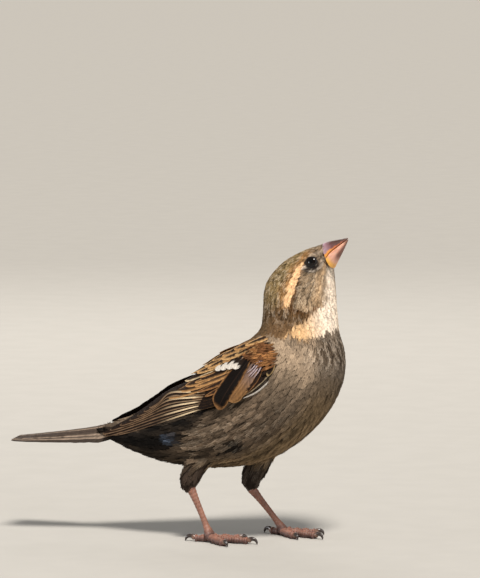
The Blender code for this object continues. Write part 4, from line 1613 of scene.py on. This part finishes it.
class Quills:
    """A set of quill feathers that becomes one piece."""

    def __init__(self, name, sheet, slot, nodes):
        self.name, self.sheet, self.slot, self.nodes = name, sheet, slot, nodes
        self.parts = []

    def add(
        self, shaft, webs, lift, tone, fringe, rims, tip=0.35, tilt=0.0, camber=0.25, tint=None, root=0.3
    ):
        """Lays one feather.

        shaft is its line on the sheet from root to tip, and webs the widths of its lower and upper vane.
        lift is its height at the root and the tip, and tilt raises its lower edge. tone and fringe are its
        colours, and rims the widths of the fringe on the lower edge, the upper edge and the tip.
        """
        line = curve_through(shaft, SHAFT_POINTS)
        run = run_along(line)
        length = run[-1]
        t = 1 - (1 - np.linspace(0, 1, ROWS)) ** 1.25
        flat = np.stack([np.interp(t * length, run, line[:, axis]) for axis in (0, 1)], -1)
        way = unit(np.gradient(flat, axis=0))
        across = np.stack((-way[:, 1], way[:, 0]), -1)
        if across[ROWS // 2, 1] < 0:
            across = -across
        rounded = np.sqrt(np.clip(1 - (np.clip(t - (1 - tip), 0, tip) / tip) ** 2, 0.0006, 1))[:, None]
        t = t[:, None]
        wide = (root + (1 - root) * np.clip(t / 0.35, 0, 1) ** 0.8) * rounded
        half = np.where(COLUMNS < 0, *webs)[None] * wide
        half = half * np.where(np.abs(COLUMNS) > 0.99, rng.normal(1, 0.018, VANE_GRID.shape), 1)
        w = COLUMNS[None] * half
        # the vane's edges end short of the shaft at a rounded tip
        back = -0.30 * np.abs(w) * (1 - rounded**2)
        places = flat[:, None] + across[:, None] * w[..., None] + way[:, None] * back[..., None] * 0.2
        rise = blend(*lift, t)
        rise = rise - tilt * COLUMNS[None] * wide - camber * COLUMNS[None] ** 2 * wide
        ridge = np.where(COLUMNS == 0, SHAFT_RIDGE, 0.0)[None] * (1 - 0.6 * t)
        ripple = rng.normal(0, 0.02, VANE_GRID.shape)
        top = self.sheet.lay(places, rise + HALF_THICKNESS + ridge + ripple)
        under = self.sheet.lay(places, rise - HALF_THICKNESS + ripple)

        colour = quill_colours(t, half, length, tone, fringe, rims)
        t = t * VANE_GRID
        if tint:
            colour = tint(colour, t, COLUMNS * VANE_GRID, places)
        colour = colour * rng.normal(1, 0.04, VANE_GRID.shape)[..., None] * rng.normal(1, 0.06)
        colour = np.clip(colour, 0, 1)
        spread = np.stack((0.5 + w * 0.01, t * length * 0.01), -1)
        bake = np.stack((0.5 + COLUMNS * VANE_GRID / 2, t), -1)
        values = (both_sides(row, row) for row in (colour, spread, bake))
        self.parts.append((both_sides(top, under), *values))

    def build(self, mirrored=False):
        """Joins the feathers, on the left wing if they are mirrored, each on its own cell of the map."""
        columns = max(1, math.ceil(math.sqrt(len(self.parts) * 3)))
        rows = math.ceil(len(self.parts) / columns)
        points, colours, spreads, bakes = (np.stack(row) for row in zip(*self.parts))
        count, corners = points.shape[:2]
        index = np.arange(count)[:, None, None]
        quads = (QUILL_FACES[None] + index * corners).reshape(-1, 4)
        cells = np.concatenate((index % columns, index // columns), -1)
        bakes = (cells + CELL_MARGIN + bakes * CELL_SPAN) / (columns, rows)
        points = points.reshape(-1, 3)
        if mirrored:
            points[:, 1] = 2 * MIDDLE_Y - points[:, 1]
            points[:, 2] += np.interp(points[:, 0], WING_LIFT_AT, WING_LIFT)
            quads = quads[:, ::-1]
        piece = mesh_piece(self.name, points, quads, quill_barbs)
        add_colours(piece, colours.reshape(-1, 3))
        add_map(piece, "vane", spreads.reshape(-1, 2))
        add_map(piece, "OFBake", bakes.reshape(-1, 2))
        only(piece)
        with editing():
            bpy.ops.mesh.normals_make_consistent(inside=False)
        soften(piece, 40)
        on_body(piece, self.slot, *self.nodes)


BLACK_BROWN = paint(34, 23, 17)
DARK_VANE = paint(62, 45, 32)
RUFOUS = paint(134, 95, 60)
ORANGE_BUFF = paint(164, 124, 80)
PALE_BUFF = paint(206, 184, 150)
WHITE_TIP = paint(192, 186, 178)
TAIL_BROWN = paint(108, 94, 84)
LILAC = paint(168, 152, 156)
NO_RIMS = (0.0, 0.0, 0.0)


def part_way(one, other, share):
    """A place between two others on a sheet."""
    return tuple(blend(a, b, share) for a, b in zip(one, other))


def bowed(root, end, ahead=0.0, up=0.0):
    """A shaft from root to end with its middle moved this far."""
    middle = part_way(root, end, 0.5)
    return root, (middle[0] + ahead, middle[1] + up), end


def panel_tint(strength, reach):
    """A pale panel near the root of a primary's outer web."""

    def tint(colour, _, u, places):
        near = above(places[..., 0], 0.0, 12) * (1 - above(places[..., 0], 10.6, 0.8))
        edge = (1 - above(u, reach, 0.25)) * near
        return mix(colour, PALE_BUFF, edge * strength)

    return tint


def half_white(start):
    """A covert with a black root and a white end."""

    def tint(colour, t, u, _):
        return mix(colour, WHITE_TIP, above(t + 0.06 * np.sin(u * 9), start, 0.12))

    return tint


def lilac_bloom(colour, t, u, _):
    """A lilac-grey bloom on a covert's middle that warms to rufous near its end."""
    lilac_wash = mix(paint(118, 98, 90), paint(128, 94, 60), above(t, 0.45, 0.5))
    streak = 0.5 + 0.5 * np.sin(u * 15 + 5 * t)
    return mix(colour, lilac_wash, (0.4 + 0.6 * streak) * (1 - above(np.abs(u), 0.85, 0.2)))


def lay_primaries(quills):
    """Nine long dark feathers, with pale panels at the roots of their outer webs."""
    tips = (
        (-22.8, 36.3), (-26.4, 35.7), (-27.2, 36.3), (-24.6, 37.7), (-20.6, 39.5),
        (-17.0, 41.3), (-14.0, 43.0), (-11.5, 44.6), (-9.4, 46.0),
    )
    for rank, end in enumerate(tips):
        shaft = (
            (21.0, 50.0 + 0.55 * rank),
            (10.0, 47.6 + 0.80 * rank),
            (-2.0, 43.5 + 1.12 * rank),
            part_way((-2.0, 43.5 + 1.12 * rank), end, 0.55),
            end,
        )
        panel = panel_tint(0.15, -0.7) if rank % 2 else panel_tint(1.0 - 0.04 * rank, -0.42)
        lift = (-1.0 + 0.07 * rank, -0.05 + 0.06 * rank)
        quills.add(
            shaft, (0.95, 2.5), lift, BLACK_BROWN * 0.6, paint(118, 94, 72), (0.2, 0.0, 0.12),
            tip=0.22, tilt=0.18, camber=0.1, tint=panel,
        )


def lay_secondaries(quills):
    """Six dark feathers with rufous edges."""
    ends = ((-8.3, 47.5), (-6.9, 48.5), (-5.6, 49.4), (-4.4, 50.2), (-3.3, 50.9), (-2.2, 51.5))
    for rank, end in enumerate(ends):
        middle = (11.0, 52.4 + 0.75 * rank)
        shaft = ((25.0, 55.6 + 0.7 * rank), middle, part_way(middle, end, 0.6), end)
        quills.add(
            shaft, (0.8, 2.0), (-0.45 + 0.06 * rank, -0.35 + 0.05 * rank), BLACK_BROWN, RUFOUS,
            (0.42, 0.0, 0.3), tip=0.2, tilt=0.16, camber=0.1,
        )


def lay_tertials(quills):
    """Four broad feathers over the secondaries, with wide buff edges."""
    rows = (
        (((26, 60.0), (17, 57.4), (8, 54.0), (-3.8, 50.2)), (1.4, 1.7), ORANGE_BUFF, 0.4),
        (((26, 61.4), (18, 59.0), (10.0, 55.8), (0.6, 52.7)), (1.4, 1.5), ORANGE_BUFF, 0.45),
        (((26, 62.8), (18, 60.5), (10.5, 57.2), (4.0, 54.6)), (1.4, 1.5), ORANGE_BUFF, 0.5),
        (((26, 65.2), (18, 62.9), (10.5, 59.6), (3.2, 56.0)), (1.3, 1.5), PALE_BUFF, 0.3),
    )
    for rank, (shaft, webs, fringe, rim) in enumerate(rows):
        quills.add(
            shaft, webs, (0.0 + 0.11 * rank, 0.02 + 0.11 * rank), BLACK_BROWN, fringe,
            (rim, rim * 0.7, rim * 1.1), tip=0.3, tilt=0.16, camber=0.22,
        )


def lay_primary_coverts(quills):
    """Six dark coverts over the primaries' roots, two alula feathers and the wing's white edge."""
    for rank in range(6):
        shaft = (
            (25.0, 53.0 + 0.55 * rank),
            (17.0, 50.2 + 0.9 * rank),
            (10.4 + 0.5 * rank, 47.7 + 1.05 * rank),
        )
        quills.add(
            shaft, (1.0, 1.6), (-0.45 + 0.06 * rank, -0.4 + 0.07 * rank), BLACK_BROWN * 0.5,
            RUFOUS * 0.25, (0.06, 0.0, 0.08), tip=0.3, tilt=0.12, camber=0.12,
        )
    for root, middle, end, tone in (
        ((36.5, 60.6), (31.0, 56.4), (23.5, 52.2), BLACK_BROWN * 0.7),
        ((34.5, 58.4), (28.0, 54.3), (17.5, 50.3), BLACK_BROWN),
    ):
        quills.add(
            (root, middle, end), (1.1, 1.7), (-0.1, -0.15), tone, PALE_BUFF * 0.8, (0.16, 0.0, 0.2),
            tip=0.2, tilt=0.1,
        )
    edge = ((38.0, 60.4), (35.6, 57.4), (32.0, 54.3), (27.6, 52.2))
    quills.add(edge, (0.26, 0.26), (0.35, 0.25), WHITE_TIP, WHITE_TIP, NO_RIMS, tip=0.4, camber=0.05)


def lay_ruffled_coverts(quills):
    """The right wing's eight greater coverts, out of order at the bend, with one hanging down."""
    rows = (
        (
            ((26, 64.2), (20.0, 62.2), (14.0, 59.8), (9.4, 57.8)),
            (0.9, 1.0), DARK_VANE, ORANGE_BUFF, (0.4, 0.3, 0.9), 0.8, None,
        ),
        (
            ((26, 63.2), (20.0, 60.8), (13.6, 58.2), (8.0, 56.0)),
            (0.9, 1.1), BLACK_BROWN, ORANGE_BUFF, (0.4, 0.35, 0.9), 0.84, None,
        ),
        (
            ((26, 62.0), (20.0, 59.4), (14.0, 56.8), (8.6, 54.6)),
            (0.9, 1.1), DARK_VANE, ORANGE_BUFF, (0.45, 0.35, 0.8), 0.88, None,
        ),
        (
            ((26.6, 61.2), (20.8, 58.0), (15.0, 55.2), (10.4, 53.2)),
            (0.9, 1.1), BLACK_BROWN, RUFOUS, (0.4, 0.35, 0.8), 0.92, None,
        ),
        (
            ((27.2, 60.6), (22.0, 56.8), (17.4, 54.0), (13.4, 51.9)),
            (0.9, 1.1), BLACK_BROWN, RUFOUS, (0.3, 0.3, 0.7), 0.96, None,
        ),
        (
            ((34.2, 62.8), (32.2, 59.4), (29.2, 55.8), (25.4, 52.4)),
            (1.2, 2.2), BLACK_BROWN, RUFOUS, (0.15, 0.1, 0.4), 0.95, None,
        ),
        (
            ((31.8, 64.4), (30.0, 60.6), (27.0, 56.0), (22.8, 51.0)),
            (2.5, 2.8), DARK_VANE * 0.7, ORANGE_BUFF * 0.8, (0.3, 0.1, 0.8), 1.15, lilac_bloom,
        ),
        (
            ((29.0, 64.8), (26.4, 60.8), (23.2, 56.0), (20.8, 52.2), (18.6, 48.2)),
            (2.1, 3.9), BLACK_BROWN * 0.24, paint(132, 94, 58), (0.25, 0.32, 1.0), 1.45, None,
        ),
    )
    for shaft, webs, tone, fringe, rims, lift, tint in rows:
        quills.add(
            shaft, webs, (lift - 0.75, lift - 0.45), tone, fringe, rims,
            tip=0.6 if webs[0] < 1 else 0.22, tilt=0.12, camber=0.35, tint=tint, root=0.45,
        )


def lay_smooth_coverts(quills):
    """The left wing's eight greater coverts, evenly fanned."""
    for rank in range(8):
        share = rank / 7
        root = part_way((34.0, 62.6), (23.5, 63.6), share)
        end = part_way((24.5, 51.8), (9.2, 56.6), share)
        shaft = bowed(root, end, -0.4, -0.4)
        quills.add(
            shaft, (1.5, 2.0), (0.15 + 0.05 * rank, 0.25 + 0.05 * rank), DARK_VANE, RUFOUS,
            (0.5, 0.3, 0.8), tip=0.25, tilt=0.12, camber=0.25,
        )


def lay_median_coverts(quills):
    """Four black coverts with white ends, five small dark ones ahead of them, and lilac slivers."""
    rows = (
        ((20.9, 64.6), (16.3, 60.4), 0.60, 1.2),
        ((23.5, 65.8), (18.4, 60.9), 0.55, 1.35),
        ((26.2, 66.4), (20.8, 61.5), 0.55, 1.4),
        ((28.8, 66.2), (23.4, 61.8), 0.68, 1.3),
    )
    for rank, (root, end, start, wide) in enumerate(rows):
        shaft = bowed(root, end, 0.3, 0.2)
        quills.add(
            shaft, (wide, wide), (0.45, 1.15 - 0.04 * rank), STREAK * 0.8, WHITE_TIP, (0.1, 0.1, 0.5),
            tip=0.35, tilt=0.1, camber=0.3, tint=half_white(start),
        )
    for root, end, fringe in (
        ((31.4, 66.6), (28.0, 63.0), BLACK_BROWN),
        ((33.6, 66.2), (30.4, 62.0), BLACK_BROWN),
        ((35.4, 65.6), (32.8, 61.0), BLACK_BROWN),
        ((36.8, 65.0), (34.6, 60.6), BLACK_BROWN),
        ((38.2, 64.2), (35.9, 60.2), paint(176, 150, 106)),
    ):
        quills.add(
            bowed(root, end), (0.9, 0.9), (0.3, 0.65), STREAK * 0.8, fringe, (0.2, 0.15, 0.5),
            tip=0.5, tilt=0.1,
        )
    for root, end in (
        ((33.6, 65.4), (29.6, 59.6)), ((34.1, 65.2), (30.4, 59.4)), ((34.6, 65.0), (31.4, 59.0)),
        ((32.9, 65.2), (29.2, 60.8)),
    ):
        shaft = bowed(root, end, 0.3, -0.2)
        quills.add(shaft, (0.2, 0.2), (0.7, 0.95), LILAC, LILAC, NO_RIMS, tip=0.7, camber=0.05)


def lay_scapulars(quills):
    """Long shoulder feathers, black down the middle with buff edges, along the wing's upper edge."""
    middles = (
        (10.6, 60.9), (14.6, 63.0), (13.0, 60.7), (18.2, 65.4), (17.4, 63.2), (22.4, 67.4), (22.0, 65.6),
        (26.8, 69.3), (27.4, 67.9), (31.6, 71.4),
    )
    for x, z in middles:
        long = rng.uniform(3.6, 5.0)
        slope = rng.uniform(0.38, 0.54)
        shaft = ((x + long, z + slope * long), (x, z + 0.12), (x - long, z - slope * long))
        quills.add(
            shaft, (1.1, 0.95), (0.75, 0.95), STREAK, mix(ORANGE_BUFF, STRAW, rng.random()),
            (0.45, 0.3, rng.uniform(0.7, 1.6)), tip=0.75, tilt=0.1, camber=0.25,
        )


def make_tail():
    """Twelve tail feathers, the middle pair on top and the outer ones lowest."""
    fan = Quills("tail_feathers", TailSheet(), "tail_feathers", ("tail",))
    for rank in range(5, -1, -1):
        for hand in (-1, 1):
            spread = (0.55 + 1.42 * rank) * hand
            root = (-24.0, MIDDLE_Y + spread * 0.36)
            end = (-60.0 - 0.32 * min(rank, 4) + 0.2 * (rank == 5), MIDDLE_Y + spread * 0.86)
            bend = (-42.0, MIDDLE_Y + spread * 0.62)
            lift = -0.12 * rank - (0.04 if hand > 0 else 0)
            outer, inner = 1.5, 2.5 if rank else 1.9
            webs = (inner, outer) if hand > 0 else (outer, inner)
            # painted shade: the outermost pair has no pale outer edge, leaving a dark line along the
            # tail's lower side
            outer_rim = 0.4 if rank < 5 else 0.0
            rims = (0.1, outer_rim, 0.35) if hand > 0 else (outer_rim, 0.1, 0.35)
            tone = TAIL_BROWN * (0.22 if rank else 0.5)
            # painted shade: ranks 1, 2 and 5 get dark edges for the shade between the feathers; tail
            # feathers all have pale edges of their own
            edge = paint(132, 116, 102) if rank in (0, 3, 4) else paint(70, 59, 52)
            shaft = (root, bend, end)
            fan.add(shaft, webs, (lift, lift), tone, edge, rims, tip=0.14, camber=0.12, root=0.85)
    fan.build()


def wing_sets(side):
    """A wing's sets of feathers: each one's name, slot, CAD nodes that it stands for, and maker."""
    greater = lay_ruffled_coverts if side == "right" else lay_smooth_coverts
    return (
        ("primaries", "flight_feathers", (f"wing_primaries_{side}",), lay_primaries),
        ("secondaries", "flight_feathers", (f"wing_secondaries_{side}",), lay_secondaries),
        ("tertials", "flight_feathers", (), lay_tertials),
        ("primary_coverts", "wing_coverts", (), lay_primary_coverts),
        ("greater_coverts", "wing_coverts", (), greater),
        ("median_coverts", "wing_coverts", (), lay_median_coverts),
        ("scapulars", "wing_coverts", (), lay_scapulars),
    )


wing_sheet = WingSheet()
for side in ("right", "left"):
    for name, slot, nodes, lay in wing_sets(side):
        feathers = Quills(f"{name}_{side}", wing_sheet, slot, nodes)
        lay(feathers)
        feathers.build(side == "left")
make_tail()


# ---- Small feathers that lie over the wings' roots ----------------------------------------------------

LIT_CHESTNUT = paint(154, 108, 66)
LESSER_OUTLINE = (
    (28.4, 67.8), (30.6, 70.0), (33.8, 71.6), (37.5, 70.4), (39.9, 67.8), (39.3, 64.6), (37.6, 63.0),
    (35.4, 64.2), (33.0, 66.0), (30.8, 66.6),
)
SHOULDER_LINE_AT = (6.0, 12.0, 16.0, 25.7, 28.7, 33.4, 39.0, 42.0)
SHOULDER_LINE = (56.6, 59.8, 61.9, 65.9, 68.6, 71.0, 71.8, 72.0)


def lie_of_wing(points):
    """Aft and down along the folded wing."""
    out = np.sign(points[:, 1] - MIDDLE_Y)
    return unit(np.stack((np.full(len(points), -0.9), out * 0.05, np.full(len(points), -0.43)), -1))


def wing_small(name, keep, gap, length, half, colours, net, ruffle, lift):
    """Small feathers of one size on the wings, raised over the body's coat."""
    roots, ups = scattered(body_guide, lambda points: np.full(len(points), gap), keep)
    count = len(roots)
    lengths = length * rng.uniform(0.85, 1.15, count)
    paths, outs = trace(body_guide, roots, ups, lengths, rng.normal(0, 9, count), lie_of_wing)
    paths = paths + outs * lift
    tones = colours(paths[:, SEEN])
    widths = half * rng.uniform(0.88, 1.12, count)
    rise = rng.uniform(-0.02, 0.12, count)
    coat = coat_rows(roots, (paths, outs), tones, lengths, widths, np.full(count, 0.9), rise)
    plumes(name, coat, net, ruffle, 0.12, "wing_coverts")


def lesser_colours(points):
    tone = 1 + 0.22 * wobble(points, 3.0)
    body = mix(CHESTNUT * np.ones((len(points), 1)), LIT_CHESTNUT, above(wobble(points, 2.2), 0.2, 0.9))
    body = body * tone[:, None]
    return body, body * 1.18, body * 0.62, np.full(len(points), 0.4)


def mantle_colours(points):
    count = len(points)
    body = mix(MANTLE * np.ones((count, 1)), RUFOUS, rng.random(count) * 0.6) * 0.9
    edge = mix(STRAW * np.ones((count, 1)), ORANGE_BUFF, rng.random(count)) * 0.92
    dark = rng.random(count) < 0.62
    heart = mix(body * 0.7, STREAK, dark)
    return body, edge, heart, np.where(dark, 0.76, 0.25)


def in_lesser(points):
    flat = on_right_wing(points)
    return inside(flat, LESSER_OUTLINE) & (np.abs(points[:, 1] - MIDDLE_Y) > 8)


def in_mantle(points):
    flat = on_right_wing(points)
    line = np.interp(flat[:, 0], SHOULDER_LINE_AT, SHOULDER_LINE)
    place, angle, _ = chart(points)
    over = (flat[:, 1] > line - 0.3) & (np.abs(points[:, 1] - MIDDLE_Y) > 6)
    centre = (np.abs(points[:, 1] - MIDDLE_Y) <= 10) & (np.abs(angle) < 60)
    return (over | centre) & (points[:, 0] > 3) & (points[:, 0] < 38.5) & (place > 34) & (place < 88)


wing_small("lesser_covert_feathers", in_lesser, 0.5, 3.0, 0.36, lesser_colours, FACE_NET, 0.08, 0.8)
wing_small("mantle_feathers", in_mantle, 1.6, 8.0, 1.6, mantle_colours, BODY_NET, 0.06, 0.7)


# ---- Stage, light and camera --------------------------------------------------------------------------


def make_stage():
    """A broad pale floor."""
    only()
    bpy.ops.mesh.primitive_plane_add(size=80.0, location=(0, 0, 0))
    floor = bpy.context.object
    floor.name = "studio_floor"
    with editing():
        bpy.ops.mesh.subdivide(number_cuts=6)
    finish, nodes, shader = new_finish("pale_studio_paper")
    fibre = noise(place_on(nodes), 60.0, 4.0)
    base = plain(nodes, 0.40, 0.385, 0.36)
    feed(tinted(base, (0.97, 0.97, 0.97, 1), fibre.clamped(0.3, 0.7), "MULTIPLY"), shader, "Base Color")
    feed(fibre * 0.1 + 0.8, shader, "Roughness")
    floor.data.materials.append(finish)


def add_sun(name, way, strength, softness, colour):
    """A broad light so far off that it falls the same everywhere, its softness an angle in degrees."""
    lamp = bpy.data.lights.new(name, "SUN")
    lamp.energy = strength
    lamp.angle = math.radians(softness)
    lamp.color = colour
    linked(name, lamp).rotation_euler = turned_to(way)


def add_light(name, place, aim, size, power, colour):
    """A round soft light, its size in metres and its power in watts."""
    lamp = bpy.data.lights.new(name, "AREA")
    lamp.shape = "DISK"
    lamp.size = size
    lamp.energy = power
    lamp.color = colour
    light = linked(name, lamp)
    light.location = place
    light.rotation_euler = (Vector(aim) - Vector(place)).to_track_quat("-Z", "Y").to_euler()


def make_lights():
    """A soft sun from above, a fill ahead, a small light for the eye's glint and one from behind."""
    middle = (0.012, 0.0, 0.06)
    add_sun("key_light", (0.22, -0.50, 0.90), 4.8, 14.0, (1.0, 0.95, 0.88))
    add_light("fill_light", (0.95, -0.60, 0.30), middle, 0.8, 4.2, (0.95, 0.97, 1.0))
    add_light("catch_light", (-0.88, -0.36, 0.15), middle, 0.24, 3.6, (0.92, 0.96, 1.0))
    add_light("rim_light", (-0.3, 0.8, 0.6), middle, 0.5, 2.0, (1.0, 0.97, 0.93))
    world = bpy.data.worlds.new("studio_air")
    world.use_nodes = True
    air = world.node_tree.nodes["Background"].inputs
    air["Color"].default_value = (0.80, 0.78, 0.74, 1)
    air["Strength"].default_value = 0.32
    bpy.context.scene.world = world


def make_camera():
    """A long lens 1.5 m away, a little above the bird's eye level and 14 degrees ahead of side on."""
    azimuth, elevation, distance = math.radians(14), math.radians(5), 1.5
    aim = Vector((0.01984, 0.00928, 0.08806))
    back = Vector((
        math.sin(azimuth) * math.cos(elevation),
        -math.cos(azimuth) * math.cos(elevation),
        math.sin(elevation),
    ))
    lens = bpy.data.cameras.new("side_camera")
    lens.lens = 263.2
    lens.sensor_width = 36
    lens.clip_end = 20
    camera = linked("side_camera", lens)
    camera.location = aim + back * distance
    camera.rotation_euler = (-back).to_track_quat("-Z", "Y").to_euler()
    bpy.context.scene.camera = camera


make_stage()
make_lights()
make_camera()
bpy.context.scene.view_settings.view_transform = "Standard"

bpy.data.objects.remove(body_shell)
